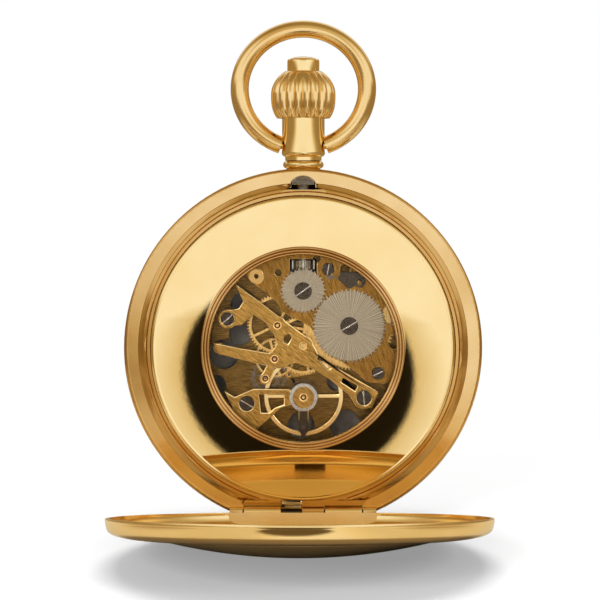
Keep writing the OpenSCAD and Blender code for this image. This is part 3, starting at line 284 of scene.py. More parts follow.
# The plate, lowest in the movement, is painted much darker and the barrel bridge somewhat darker
# than the top bridges: painted shade of their depth, the same gilding in three tones.
plate_gilt_painted_deep_shade = brushed_gilt("brushed_gilt_plate_painted_deep_shade", "#8A6A38", "#4A3517", 0)
barrel_gilt_painted_half_shade = brushed_gilt("brushed_gilt_barrel_bridge_painted_half_shade", "#A87A36", "#6C4A1C", 70)
bridge_gilt = brushed_gilt("brushed_gilt_bridge", "#CF9F50", "#71501F", 37)
wheel_brass = brushed_gilt("polished_wheel_brass", "#F2CB80", "#C4934A", 90)
edge_gilt = polished_gold("polished_bridge_edge", 0.3, 0.02)

# %% [markdown]
# ## Sunray steel
# The ratchet wheel and the crown wheel are steel, ground with strokes that run out from the centre.
# The angle round the wheel drives a noise, so each stroke keeps one tone from hub to teeth.


# %% Sunray steel
FACING_BACK = (math.pi / 2, 0.0, 0.0)


def sunray_steel(name, centre):
    material, tree, shader = finish_named(name)
    angle = round_about(tree, centred_on(tree, centre, FACING_BACK))
    strokes = add(
        tree, "ShaderNodeTexNoise", {"noise_dimensions": "1D"}, W=angle, Scale=330.0, Detail=4.0
    ).outputs["Fac"]
    tones = [(0.32, colour("#5F523F")), (0.5, colour("#9A8B71")), (0.68, colour("#D2C6AF"))]
    tree.links.new(ramp(tree, strokes, tones), shader.inputs["Base Color"])
    bump(tree, shader, strokes, 0.35, 0.00003)
    shader.inputs["Metallic"].default_value = 0.85
    shader.inputs["Roughness"].default_value = 0.38
    return material


crown_wheel_steel = sunray_steel("sunray_steel_crown_wheel", WATCH @ Vector((0, 7.9, 1.6)))
ratchet_steel = sunray_steel("sunray_steel_ratchet", WATCH @ Vector((6.46, 2.98, 1.6)))


# %% [markdown]
# ## Other finishes
# Screws and the click are dark polished steel and arbors are bright steel. The thin springs, the
# fork, the escape wheel and the catch are grey steel. The hands are blued by heat, the bearings are
# red ruby, the dial is enamel and the windows are plain glass.


# %% Steels
def steel(name, light, dark, roughness):
    material, tree, shader = finish_named(name)
    grain = noise(tree, own_place(tree), 2500.0, 3.0)
    tint = ramp(tree, grain, [(0.35, colour(dark)), (0.65, colour(light))])
    tree.links.new(tint, shader.inputs["Base Color"])
    bump(tree, shader, grain, 0.05, 0.00001)
    shader.inputs["Metallic"].default_value = 1.0
    shader.inputs["Roughness"].default_value = roughness
    return material


dark_steel = steel("dark_polished_steel", "#54493C", "#453B30", 0.3)
bright_steel = steel("bright_polished_steel", "#C4BBAB", "#AFA696", 0.2)
grey_steel = steel("grey_polished_steel", "#7D7161", "#665B4C", 0.28)
blued_steel = steel("heat_blued_steel", "#3A5C9C", "#1B2B57", 0.18)

# %% Ruby and glass
ruby, _, shader = finish_named("polished_ruby")
shader.inputs["Base Color"].default_value = colour("#5A2410")
shader.inputs["Roughness"].default_value = 0.15
shader.inputs["IOR"].default_value = 1.3

clear_glass, _, shader = finish_named("window_glass")
shader.inputs["Base Color"].default_value = (1, 1, 1, 1)
shader.inputs["Roughness"].default_value = 0.0
shader.inputs["IOR"].default_value = 1.08
shader.inputs["Transmission Weight"].default_value = 1.0

# %% [markdown]
# The front of the dial is white enamel with plain printed bars for the hours and minutes. The angle
# round the dial, times the number of bars, passes a whole number at each bar. Half is added, so
# that a bar falls in the middle of the fraction.

# %% Enamel
MARK_HALF_WIDTHS = {12: 0.045, 60: 0.05}
MARK_ENDS = {12: (14.6, 17.2), 60: (17.6, 18.2)}

enamel, tree, shader = finish_named("white_enamel")
cloud = noise(tree, own_place(tree), 300.0, 2.0)
ground = ramp(tree, cloud, [(0.3, colour("#F1EEE5")), (0.7, colour("#F6F4EC"))])
centred = centred_on(tree, WATCH @ Vector((0, 0.2, 0)), FACING_BACK)
from_centre = vector_step(
    tree, "LENGTH", vector_step(tree, "MULTIPLY", centred, (1, 1, 0))["Vector"]
)["Value"]
turn = round_about(tree, centred)


def marks(count):
    """Printed bars round the dial: 1 on a bar and 0 between the bars."""
    share = step(tree, "FRACT", step(tree, "ADD", step(tree, "MULTIPLY", turn, count), 0.5))
    off_middle = step(tree, "ABSOLUTE", step(tree, "SUBTRACT", share, 0.5))
    value = step(tree, "LESS_THAN", off_middle, MARK_HALF_WIDTHS[count])
    for operation, limit in zip(("GREATER_THAN", "LESS_THAN"), MARK_ENDS[count]):
        inside = step(tree, operation, from_centre, limit * MM)
        value = step(tree, "MULTIPLY", value, inside)
    return value


ink = step(tree, "MAXIMUM", marks(12), marks(60))
tree.links.new(blend(tree, ink, ground, colour("#1D1A17")), shader.inputs["Base Color"])
shader.inputs["Roughness"].default_value = 0.12
shader.inputs["Coat Weight"].default_value = 0.4

counter_enamel, tree, shader = finish_named("grey_counter_enamel")
cloud = noise(tree, own_place(tree), 500.0, 3.0)
tint = ramp(tree, cloud, [(0.3, colour("#4F473C")), (0.7, colour("#6E6455"))])
tree.links.new(tint, shader.inputs["Base Color"])
shader.inputs["Roughness"].default_value = 0.35
print(len(bpy.data.materials), "materials")

# %% [markdown]
# ## Dressing the solids
# The CAD nodes are loose triangles with hard shading. For each node a copy is merged, its flat
# faces are joined, its curved faces are shaded smooth, and a fine bevel gives each edge the small
# polished break that a maker's file leaves, because that is what catches the light.


# %% A smooth copy of a node
DOMED = ("front_glass", "front_bezel")
SLOTTED = ("bridge_screws", "case_screws", "crown_wheel_screw", "ratchet_screw")
SEAT_R, LEDGE_IN, LEDGE_OUT, RIM_IN, RIM_OUT = 20.9, 22.05, 23.03, 22.97, 24.6
LEDGE_SLOPE = 0.24
SLOT_WIDTH = 0.2


def spot_of(face):
    """Middle of a face in the watch's own frame."""
    return WATCH.inverted() @ face.calc_center_median()


def worn_ledge(work):
    """Slope the ledges of the raised rim, which are rounded by wear."""
    for v in work.verts:
        x, y, z = v.co.x / MM, v.co.z / MM - CASE_R, (MID_Y - v.co.y) / MM
        r = math.hypot(x, y)
        if LEDGE_IN < r < LEDGE_OUT and abs(z) > 2.8:
            v.co.y += math.copysign((r - LEDGE_IN) * LEDGE_SLOPE * MM, z)


# The faces chosen here get the darker gold: painted shade on the ledges and the rounded outer edge.
def on_ledge(face):
    """Whether a face of the band lies on the raised rim or on the rounded outer edge."""
    spot = spot_of(face)
    r = math.hypot(spot.x, spot.y)
    return (SEAT_R < r < RIM_IN and abs(spot.z) > 2.5) or (r > RIM_OUT and abs(spot.z) > 2.4)


# The faces chosen here get the darker rim gold: painted shade.
def on_rim(face):
    """Whether a face of the band lies on the flat rim that the covers close on."""
    spot = spot_of(face)
    return RIM_IN < math.hypot(spot.x, spot.y) < RIM_OUT and abs(face.normal.y) > 0.9


def on_arm(face):
    """Whether a face of the regulator lies on its arm, outside its ring."""
    spot = spot_of(face)
    return math.hypot(spot.x - 0.05, spot.y + 7) > 2.1


def at_slot(face):
    """Whether a face of a screw is the narrow floor of its slot."""
    longest = max(edge.calc_length() for edge in face.edges)
    return face.normal.y < -0.99 and face.calc_area() < longest * SLOT_WIDTH * MM


def at_plate_jewel(face):
    """Whether a face belongs to the large gold setting beside the crown wheel."""
    spot = spot_of(face)
    return math.hypot(spot.x + 6.6, spot.y - 9.9) < 1.3


ACCENTS = {
    "case_band": [(ledge_shade_and_setting_gold, on_ledge), (rim_painted_shade_gold, on_rim)],
    "dial": [(counter_enamel, lambda face: face.normal.y < -0.5)],
    "jewels": [(ledge_shade_and_setting_gold, at_plate_jewel)],
    "regulator": [(dark_steel, on_arm)],
}


def placed(name, mesh, work, material):
    """Put a bmesh in a mesh, give it a material and set it in the scene."""
    work.to_mesh(mesh)
    work.free()
    mesh.materials.append(material)
    thing = bpy.data.objects.new(name, mesh)
    bpy.context.scene.collection.objects.link(thing)
    return thing


def shade_smooth(mesh, angle):
    """Smooth shading, but for edges that turn more than an angle in degrees."""
    mesh.polygons.foreach_set("use_smooth", [True] * len(mesh.polygons))
    mesh.set_sharp_from_angle(angle=math.radians(angle))


def dressed(node, material, slot, bevel, edge_material=None):
    """Smooth copy of a node with its material and a bevel in millimetres; the slot is not used."""
    source = frame["nodes"][node]
    mesh = source.data.copy()
    work = bmesh.new()
    work.from_mesh(mesh)
    bmesh.ops.remove_doubles(work, verts=work.verts, dist=2e-6)
    work.normal_update()
    accents = ACCENTS.get(node, [])
    for face in work.faces:
        face.material_index = 0
        for i, (_, chosen) in enumerate(accents, 1):
            if chosen(face):
                face.material_index = i
    if node == "case_band":
        worn_ledge(work)
    if node not in DOMED:
        bmesh.ops.dissolve_limit(
            work, angle_limit=math.radians(0.4), verts=work.verts, edges=work.edges,
            delimit={"MATERIAL"},
        )
    if node in SLOTTED:
        accents = [(bright_steel, at_slot)]
        for face in work.faces:
            face.material_index = int(at_slot(face))
    mesh.materials.clear()
    piece = placed(node + "_dressed", mesh, work, material)
    for accent, _ in accents:
        mesh.materials.append(accent)
    shade_smooth(mesh, 28)
    if bevel:
        edge = piece.modifiers.new("edge_break", "BEVEL")
        edge.width = bevel * MM
        edge.segments = 2
        edge.limit_method = "ANGLE"
        edge.angle_limit = math.radians(40)
        if edge_material:
            mesh.materials.append(edge_material)
            edge.material = len(mesh.materials) - 1
            edge.use_clamp_overlap = False
    even = piece.modifiers.new("even_shading", "WEIGHTED_NORMAL")
    even.keep_sharp = True
    even.weight = 100
    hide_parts(node)
    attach(piece, source["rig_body"])
    return piece


# %% Dress every node
DRESS = {
    "case_band": (case_gold, "gold", 0.0),
    "front_bezel": (case_gold, "gold", 0.0),
    "movement_ring": (plate_gilt_painted_deep_shade, "gilt_brass", 0.0),
    "main_plate": (plate_gilt_painted_deep_shade, "gilt_brass", 0.03),
    "barrel_bridge": (barrel_gilt_painted_half_shade, "gilt_brass", 0.05, edge_gilt),
    "train_bridge": (bridge_gilt, "gilt_brass", 0.09, edge_gilt),
    "pallet_cock": (bridge_gilt, "gilt_brass", 0.02),
    "balance_cock": (bridge_gilt, "gilt_brass", 0.1, edge_gilt),
    "barrel": (wheel_brass, "gilt_brass", 0.0),
    "centre_wheel": (wheel_brass, "wheel_brass", 0.0),
    "third_wheel": (wheel_brass, "wheel_brass", 0.0),
    "fourth_wheel": (wheel_brass, "wheel_brass", 0.0),
    "minute_wheel": (wheel_brass, "wheel_brass", 0.0),
    "hour_wheel": (wheel_brass, "wheel_brass", 0.0),
    "balance_wheel": (worn_gold, "balance_gold", 0.06),
    "lift_springs": (bright_steel, "polished_steel", 0.0),
    "lock_spring": (bright_steel, "polished_steel", 0.0),
    "case_stem": (bright_steel, "polished_steel", 0.0),
    "winding_arbor": (bright_steel, "polished_steel", 0.0),
    "crown_wheel": (crown_wheel_steel, "polished_steel", 0.03),
    "ratchet_wheel": (ratchet_steel, "polished_steel", 0.03),
    "barrel_arbor": (bright_steel, "polished_steel", 0.0),
    "escape_wheel": (grey_steel, "polished_steel", 0.0),
    "pallet_fork": (grey_steel, "polished_steel", 0.0),
    "roller": (bright_steel, "polished_steel", 0.0),
    "cannon_pinion": (bright_steel, "polished_steel", 0.0),
    "click_spring": (grey_steel, "polished_steel", 0.0),
    "hairspring": (grey_steel, "polished_steel", 0.0),
    "bridge_screws": (dark_steel, "dark_steel", 0.03),
    "case_screws": (dark_steel, "dark_steel", 0.03),
    "crown_wheel_screw": (dark_steel, "dark_steel", 0.03),
    "ratchet_screw": (dark_steel, "dark_steel", 0.03),
    "hinge_pins": (dark_steel, "dark_steel", 0.0),
    "winding_pinion": (bright_steel, "dark_steel", 0.0),
    "clutch": (dark_steel, "dark_steel", 0.0),
    "mainspring": (dark_steel, "dark_steel", 0.0),
    "click": (dark_steel, "dark_steel", 0.03),
    "regulator": (bright_steel, "dark_steel", 0.0),
    "minute_hand": (blued_steel, "blued_steel", 0.0),
    "hour_hand": (blued_steel, "blued_steel", 0.0),
    "jewels": (ruby, "ruby", 0.07, edge_gilt),
    "window_glass": (clear_glass, "clear_glass", 0.0),
    "front_glass": (clear_glass, "clear_glass", 0.0),
    "dial": (enamel, "enamel", 0.0),
}
pieces = {node: dressed(node, *how) for node, how in DRESS.items()}

# %% [markdown]
# ## Turned pieces
# The inner cover, the moulding of the window, the pendant and the button are turned on a lathe, so
# here a profile is spun round its axis. With many more steps than the CAD solids have, a mirror
# polish shows no facets. Profiles are (radius, height) in millimetres.


# %% Turning
def finished(name, work, material, node, angle):
    """Make a bmesh in the watch's frame a piece that stands for a node."""
    bmesh.ops.recalc_face_normals(work, faces=work.faces)
    bmesh.ops.transform(work, matrix=WATCH, verts=work.verts)
    piece = placed(name, bpy.data.meshes.new(name), work, material)
    shade_smooth(piece.data, angle)
    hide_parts(node)
    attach(piece, frame["nodes"][node]["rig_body"])
    pieces[node] = piece
    return piece


def turned(profile, steps=240, closed=True):
    """Spin a profile round the z axis; a closed profile is the section of a ring."""
    work = bmesh.new()
    points = [work.verts.new((r, 0, z)) for r, z in profile]
    edges = [work.edges.new(pair) for pair in zip(points, points[1:])]
    if closed:
        edges.append(work.edges.new((points[-1], points[0])))
    bmesh.ops.spin(
        work, geom=points + edges, cent=(0, 0, 0), axis=(0, 0, 1), angle=math.tau,
        steps=steps, use_merge=True,
    )
    bmesh.ops.remove_doubles(work, verts=work.verts, dist=1e-5)
    return work


def arc(r, z, radius, start, end, steps=8):
    """Points of a rounding in a profile, angles in degrees."""
    turns = [math.radians(start + (end - start) * i / steps) for i in range(steps + 1)]
    return [(r + radius * math.cos(a), z + radius * math.sin(a)) for a in turns]


# %% [markdown]
# The inner cover is a very shallow dish. It slopes 3.8 degrees at the window and 5.5 degrees at its
# edge, so it works like a hollow mirror: the lines of sight that it reflects nearly meet in one
# spot, close below the camera.

# %% Inner cover
DISH_HOLE, DISH_EDGE, DISH_TOP, DISH_RISE = 14.17, 20.6, 3.6, 0.00235
dish = []
for i in range(41):
    r = DISH_HOLE + (DISH_EDGE - DISH_HOLE) * i / 40
    dish.append((r, DISH_TOP + DISH_RISE * (r * r - DISH_HOLE**2)))
edge_z = dish[-1][1]
under = [(r, z - 0.4) for r, z in reversed(dish)]
profile = dish + arc(20.75, edge_z - 0.38, 0.4, 100, 0) + [(21.15, 2.2), (20.6, 2.2)] + under
finished("inner_cover_turned", turned(profile, 360), dish_gold, "inner_cover", 40)

# %% [markdown]
# Each cover is a thin turned shell with a dome, a crease and a full round shoulder. It is cut off
# straight at the hinge, closed there with a flat wall, and gets its knuckles and the lug that the
# catch holds. It is built closed; the back one is then swung open about its hinge pin.

# %% Covers
COVER_R, COVER_WALL, COVER_DEPTH, COVER_Z = 24.4, 0.55, 4.9, 2.8
EDGE_H, CREASE_R, CREASE_DEPTH = 0.7, 18.0, 2.6
DOME_RISE = COVER_DEPTH - CREASE_DEPTH
DOME_R = (CREASE_R**2 + DOME_RISE**2) / (2 * DOME_RISE)
SHOULDER_W, SHOULDER_H = COVER_R - CREASE_R, CREASE_DEPTH - EDGE_H
HINGE_Y, HINGE_Z, CHORD_Y, BACK_OPEN = -22.9, 2.75, -22.0, 80.5775
SHOULDER_IN, TAPER_Z = 18.3, 0.4
SHOULDER_CURVE = ((SHOULDER_IN, 2.6), (21.5, 2.6), (23.85, 2.2), (24.16, TAPER_Z + 1))
RIM_PROFILE = [(24.44, 0.34), (24.44, 0.12), (24.4, 0.03), (24.34, 0.0), (23.85, 0.0)]
WALL_HALF, KNUCKLE_R, KNUCKLE_IN, KNUCKLE_OUT = 10.2, 0.8, 3.1, 8.2
LUG_LOW, LUG_HIGH = (-1.57, 23.45, 2.85), (1.57, 23.95, 3.1)


def cover_outline(wall):
    """Outline from the axis over the dome, down to the crease, and out round the shoulder.

    Without a wall it is the outside, with the small ridge on the crease. The shoulder is a Bezier
    curve, and below it the side runs down in a gentle taper.
    """
    dome, shoulder = [], []
    for i in range(33):
        a = math.asin((CREASE_R - 0.12) / DOME_R) * i / 32
        r, z = (DOME_R - wall) * math.sin(a), COVER_DEPTH - DOME_R
        dome.append((r, z + (DOME_R - wall) * math.cos(a)))
    if wall == 0:
        dome += arc(18.09, CREASE_DEPTH - 0.02, 0.13, 150, 30, 6)
    for i in range(25):
        t = i / 24
        weights = ((1 - t) ** 3, 3 * t * (1 - t) ** 2, 3 * t * t * (1 - t), t**3)
        pairs = list(zip(weights, SHOULDER_CURVE))
        shoulder.append(tuple(sum(weight * corner[k] for weight, corner in pairs) for k in (0, 1)))
    for i in range(1, 13):
        t = 1 - i / 12
        shoulder.append((24.42 - 0.125 * t - 0.135 * t * t, TAPER_Z + t))
    for r, z in shoulder:
        inward = wall * (r - CREASE_R) / SHOULDER_W
        dome.append((r - inward, z - wall * max(0.0, (z - EDGE_H) / SHOULDER_H)))
    return dome


def shell_height(r):
    """Height of the outside of the shoulder at a radius."""
    outline = [point for point in cover_outline(0) if point[0] > SHOULDER_IN]
    for (r0, z0), (r1, z1) in zip(outline, outline[1:]):
        if r0 <= r <= r1:
            return z0 + (z1 - z0) * (r - r0) / (r1 - r0)
    return EDGE_H


def block(work, low, high):
    """Add a box between two corners."""
    low, high = Vector(low), Vector(high)
    place = Matrix.Translation((low + high) / 2) @ Matrix.Diagonal((*(high - low), 1))
    bmesh.ops.create_cube(work, size=1, matrix=place)


def cover():
    """Closed back cover, in the watch's frame."""
    profile = cover_outline(0) + RIM_PROFILE + cover_outline(COVER_WALL)[::-1]
    work = turned(profile, 360, closed=False)
    bmesh.ops.translate(work, vec=(0, 0, COVER_Z), verts=work.verts)
    cut = bmesh.ops.bisect_plane(
        work, geom=work.verts[:] + work.edges[:] + work.faces[:], plane_co=(0, CHORD_Y, 0),
        plane_no=(0, -1, 0), clear_outer=True,
    )["geom_cut"]
    bmesh.ops.contextual_create(work, geom=[g for g in cut if isinstance(g, bmesh.types.BMEdge)])
    arch = []
    for i in range(41):
        x = WALL_HALF * (i / 20 - 1)
        top = shell_height(math.hypot(x, CHORD_Y)) - 0.03
        arch.append((x, CHORD_Y + 0.01, COVER_Z + top))
    foot = [(x, CHORD_Y + 0.01, COVER_Z) for x in (WALL_HALF, -WALL_HALF)]
    wall = work.faces.new([work.verts.new(point) for point in arch + foot])
    grown = bmesh.ops.extrude_face_region(work, geom=[wall])["geom"]
    moved = [g for g in grown if isinstance(g, bmesh.types.BMVert)]
    bmesh.ops.translate(work, vec=(0, COVER_WALL, 0), verts=moved)
    for side in (-1, 1):
        bmesh.ops.create_cone(
            work, cap_ends=True, segments=48, radius1=KNUCKLE_R, radius2=KNUCKLE_R,
            depth=KNUCKLE_OUT - KNUCKLE_IN,
            matrix=Matrix.Translation((side * (KNUCKLE_IN + KNUCKLE_OUT) / 2, HINGE_Y, HINGE_Z))
            @ Matrix.Rotation(math.pi / 2, 4, "Y"),
        )
        ends = sorted((side * KNUCKLE_IN, side * KNUCKLE_OUT))
        block(work, (ends[0], HINGE_Y, COVER_Z), (ends[1], CHORD_Y + 0.1, COVER_Z + 0.75))
    block(work, LUG_LOW, LUG_HIGH)
    return work


def two_tone(piece, material, chosen):
    """Give the chosen faces of a piece a second finish."""
    piece.data.materials.append(material)
    for face in piece.data.polygons:
        face.material_index = int(chosen(face))


# %% Back cover, open
work = cover()
bmesh.ops.rotate(
    work, verts=work.verts, cent=(0, HINGE_Y, HINGE_Z),
    matrix=Matrix.Rotation(math.radians(BACK_OPEN), 3, "X"),
)
back = finished("back_cover_turned", work, case_gold, "back_cover", 35)
two_tone(back, worn_gold, lambda face: face.normal.z > 0.1)

# %% Front cover, closed
work = cover()
bmesh.ops.scale(work, vec=(1, 1, -1), verts=work.verts)
front = finished("front_cover_turned", work, case_gold, "front_cover", 35)
two_tone(front, worn_gold, lambda face: face.normal.y < -0.1)

# %% Moulding of the window
RING, BEAD = 14.15, 1.15 / 3
profile = [(13.0, 2.85), (RING + 0.6, 2.85), (RING + 0.6, 3.1), (RING, 3.15)]
for beads_in, height in ((0.5, 3.75), (1.5, 3.85), (2.5, 3.7)):
    profile += arc(RING - BEAD * beads_in, height, BEAD / 2, 0, 180, 10)
profile += [(13.0, 3.5), (13.4, 3.5), (13.4, 3.1), (13.0, 3.1)]
finished("window_moulding", turned(profile, 300), moulding_gold, "window_ring", 50)


# %% Pendant
def up_the_pendant(work):
    """Stand a piece that was turned round z up along the pendant line."""
    bmesh.ops.rotate(
        work, verts=work.verts, cent=(0, 0, 0), matrix=Matrix.Rotation(-math.pi / 2, 3, "X")
    )
    return work


profile = [(1.9, 24.4), (2.0, 24.4), (2.0, 24.7), (2.71, 24.7)]
profile += arc(2.33, 25.55, 0.53, -90, 90, 14)
profile += [(2.57, 26.15), (2.57, 26.62), (2.62, 26.68), (2.8, 26.75), (2.95, 26.9), (3.05, 27.05)]
profile += [(3.05, 27.3), (3.0, 27.6), (3.0, 32.6)]
profile += arc(2.85, 32.65, 0.15, 0, 90, 5) + [(1.9, 32.8)]
finished("pendant_turned", up_the_pendant(turned(profile, 160)), case_gold, "pendant", 35)

# %% Push button
profile = [(0.0, 38.45), (2.26, 38.45), (2.26, 40.1)]
profile += arc(1.86, 40.1, 0.4, 0, 70, 6) + [(1.2, 40.7), (0.6, 40.78), (0.0, 40.8)]
button = up_the_pendant(turned(profile, 128, closed=False))
finished("push_button_turned", button, case_gold, "push_button", 35)


# %% [markdown]
# The catch is a steel tube round the stem with a tongue on each side. What shows in the notch of
# the band is the rounded end of a tongue's body. A lower neck runs on past the lug of the cover,
# and a hook on it holds the lug. Each of the three is drawn as an outline and extruded.


# %% Catch
TONGUE_HALF, TONGUE_LOW, TONGUE_SHOULDER = 1.56, 22.75, 23.1
TONGUE_PARTS = ((0.8, 2.76, 1.05, 0.2), (2.6, 3.2, 0.27, 0.05), (3.15, 3.35, 0.65, 0.08))


def tongue(work, side):
    """Add the body, neck and hook of one tongue: near end, far end, rise of the top, bevel."""
    for near, far, rise, edge in TONGUE_PARTS:
        outline = [(-TONGUE_HALF, TONGUE_LOW), (TONGUE_HALF, TONGUE_LOW)]
        outline.append((TONGUE_HALF, TONGUE_SHOULDER))
        for i in range(1, 24):
            a = math.pi * i / 24
            outline.append((TONGUE_HALF * math.cos(a), TONGUE_SHOULDER + rise * math.sin(a)))
        outline.append((-TONGUE_HALF, TONGUE_SHOULDER))
        face = work.faces.new([work.verts.new((x, y, side * near)) for x, y in outline])
        grown = bmesh.ops.extrude_face_region(work, geom=[face])["geom"]
        far_end = [g for g in grown if isinstance(g, bmesh.types.BMVert)]
        bmesh.ops.translate(work, vec=(0, 0, side * (far - near)), verts=far_end)
        rim = [e for e in work.edges if all(v in far_end for v in e.verts)]
        bmesh.ops.bevel(
            work, geom=rim, offset=edge, segments=3, profile=0.5, affect="EDGES", material=1
        )


work = bmesh.new()
bmesh.ops.create_cone(
    work, cap_ends=True, segments=64, radius1=1.55, radius2=1.55, depth=2.0,
    matrix=Matrix.Translation((0, 23.15, 0)) @ Matrix.Rotation(math.pi / 2, 4, "X"),
)
tongue(work, 1)
tongue(work, -1)
catch = finished("lock_catch_drawn", work, grey_steel, "lock_catch", 40)
catch.data.materials.append(bright_steel)

# %% [markdown]
# ## Crown
# The crown has twenty fat rounded flutes that run in at the top and the bottom, like the segments
# of a melon. It starts as an open tube with many points round, and each point is then moved in or
# out: one curve gives the melon's outline and one gives the flutes.

# %% Crown
CROWN_LOW, CROWN_HEIGHT, CROWN_R, FLUTES = 32.1, 6.6, 4.58, 20


def crown_outline(share):
    """Radius of the crown at a share of its height."""
    if share < 0.5:
        return CROWN_R * (1 - 0.18 * (1 - 2 * share) ** 3)
    return CROWN_R * math.sqrt(1 - ((share - 0.5) / 0.61) ** 2)


def fluted(angle, share):
    """How far a point of the crown stands in from the outline."""
    wave = abs(math.sin(FLUTES * angle / 2))
    depth = 0.078 * min(1.0, 7 * share + 0.5) * min(1.0, 4 * (1 - share) + 0.2)
    return 1 - depth * (1 - wave)


work = bmesh.new()
bmesh.ops.create_cone(
    work, cap_ends=False, segments=FLUTES * 14, radius1=1, radius2=1, depth=CROWN_HEIGHT
)
upright = [e for e in work.edges if abs(e.verts[0].co.z - e.verts[1].co.z) > 1]
bmesh.ops.subdivide_edges(work, edges=upright, cuts=30, use_grid_fill=True)
for v in work.verts:
    share = v.co.z / CROWN_HEIGHT + 0.5
    angle = math.atan2(v.co.y, v.co.x)
    r = crown_outline(share) * fluted(angle, share)
    v.co.x, v.co.y = r * math.cos(angle), r * math.sin(angle)
    v.co.z += CROWN_LOW + CROWN_HEIGHT / 2


def rim_to(work, height, radius, rise=0.0):
    """Extrude the open rim at a height inward to a radius, then along the axis."""
    rim = [e for e in work.edges if e.is_boundary and abs(e.verts[0].co.z - height) < 1e-4]
    grown = bmesh.ops.extrude_edge_only(work, edges=rim)["geom"]
    for v in (g for g in grown if isinstance(g, bmesh.types.BMVert)):
        angle = math.atan2(v.co.y, v.co.x)
        v.co.x, v.co.y = radius * math.cos(angle), radius * math.sin(angle)
        v.co.z += rise


top = CROWN_LOW + CROWN_HEIGHT
rim_to(work, top, 2.31)
rim_to(work, top, 2.31, -1.05)
rim_to(work, top - 1.05, 0.57)
rim_to(work, CROWN_LOW, 3.15)
rim_to(work, CROWN_LOW, 3.15, 0.85)
rim_to(work, CROWN_LOW + 0.85, 0.57)
well = [e for e in work.edges if e.is_boundary]
bmesh.ops.bridge_loops(work, edges=well)
crown = finished("crown_fluted", up_the_pendant(work), satin_gold, "crown", 60)
print("crown", len(crown.data.polygons), "faces")

# %% [markdown]
# ## Bow
# The bow is one round wire bent to a ring that is a little wider than it is high, with its ends let
# into the pendant. A circle of wire is spun round the ring's centre, and a turned pin goes at each
# end.

# %% Bow
BOW_CENTRE, BOW_R, BOW_SQUASH, WIRE_R = 36.225, 8.98, 0.9415, 1.285
END = math.acos(3.1 / BOW_R)
work = bmesh.new()
wire = bmesh.ops.create_circle(
    work, segments=48, radius=WIRE_R,
    matrix=Matrix.Translation((BOW_R, 0, 0)) @ Matrix.Rotation(math.pi / 2, 4, "X"),
)["verts"]
edges = list({e for v in wire for e in v.link_edges})
bmesh.ops.rotate(work, verts=wire, cent=(0, 0, 0), matrix=Matrix.Rotation(-END, 3, "Z"))
end_cap = work.faces.new(wire)
end_cap.normal_flip()
swept = bmesh.ops.spin(
    work, geom=wire + edges, cent=(0, 0, 0), axis=(0, 0, 1), angle=math.pi + 2 * END, steps=160
)["geom_last"]
far_cap = [g for g in swept if isinstance(g, bmesh.types.BMEdge)]
bmesh.ops.contextual_create(work, geom=far_cap)
bmesh.ops.scale(work, vec=(1, BOW_SQUASH, 1), verts=work.verts)
bmesh.ops.translate(work, vec=(0, BOW_CENTRE, 0), verts=work.verts)
for side in (-1, 1):
    bmesh.ops.create_cone(
        work, cap_ends=True, segments=32, radius1=0.55, radius2=0.55, depth=1.6,
        matrix=Matrix.Translation((side * 2.9, 28.286, 0)) @ Matrix.Rotation(math.pi / 2, 4, "Y"),
    )
finished("bow_wire", work, satin_gold, "bow", 50)
missing = sorted(set(frame["nodes"]) - set(pieces))
print(len(pieces), "pieces dressed, not dressed:", missing)

# %% [markdown]
# ## Studio
# The floor and the background are plain and pale. Polished gold shows whatever stands round it, so
# the look of the case is mostly the look of the room. A light tent that only reflections see is
# bright in front of the watch and dimmer and warmer at the sides. A small black disc below the
# camera gives the dark crescent under the window.


# %% Things of the studio
WARM_CLOTH = [
    (0.0, (0.35, 0.26, 0.13, 1)), (0.5, (0.69, 0.57, 0.35, 1)), (1.0, (1.02, 1.05, 1.15, 1)),
]


def stage_mesh(name, work, material):
    thing = placed(name, bpy.data.meshes.new(name), work, material)
    return thing


def for_mirrors_only(thing):
    """Let only reflections show a thing of the studio."""
    for kind in ("camera", "diffuse", "transmission", "shadow", "volume_scatter"):
        setattr(thing, "visible_" + kind, False)


# %% [markdown]
# The floor is lit paint near the watch and goes over into plain white further out. Polished gold
# sees it in a warmer tone, and sees the far part as the same cloth that the tent is made of.

# %% Floor
floor_paint, tree, shader = finish_named("pale_floor")
mirrored = add(tree, "ShaderNodeLightPath").outputs["Is Glossy Ray"]
paint = blend(tree, mirrored, (0.86, 0.86, 0.86, 1), (0.68, 0.6, 0.46, 1))
tree.links.new(paint, shader.inputs["Base Color"])
shader.inputs["Roughness"].default_value = 0.9
shader.inputs["Specular IOR Level"].default_value = 0.1
place = own_place(tree)
fade = eased(tree, vector_step(tree, "LENGTH", place)["Value"], 0.07, 0.16, 0.3)
unit = vector_step(tree, "NORMALIZE", place)["Vector"]
toward = add(tree, "ShaderNodeSeparateXYZ", Vector=unit).outputs
shown = eased(tree, toward["Y"], 0.3, -0.5)
for dark_end, light_end in ((-0.32, -0.06), (0.6, 0.15)):
    shown = step(tree, "MULTIPLY", shown, eased(tree, toward["X"], dark_end, light_end))
cloth = ramp(tree, shown, [(0.0, (0.33, 0.24, 0.12, 1))] + WARM_CLOTH[1:])
seen = add(tree, "ShaderNodeLightPath").outputs["Is Camera Ray"]
sheet = blend(tree, seen, cloth, (1, 1, 1, 1))
white = add(tree, "ShaderNodeEmission", Color=sheet, Strength=1.0).outputs["Emission"]
ground = add(tree, "ShaderNodeMixShader", i0=fade, i1=shader.outputs["BSDF"], i2=white)
surface(tree, ground.outputs["Shader"])
work = bmesh.new()
bmesh.ops.create_grid(work, x_segments=1, y_segments=1, size=6)
floor = stage_mesh("floor", work, floor_paint)
floor.location = (0, 0, -0.02 * MM)

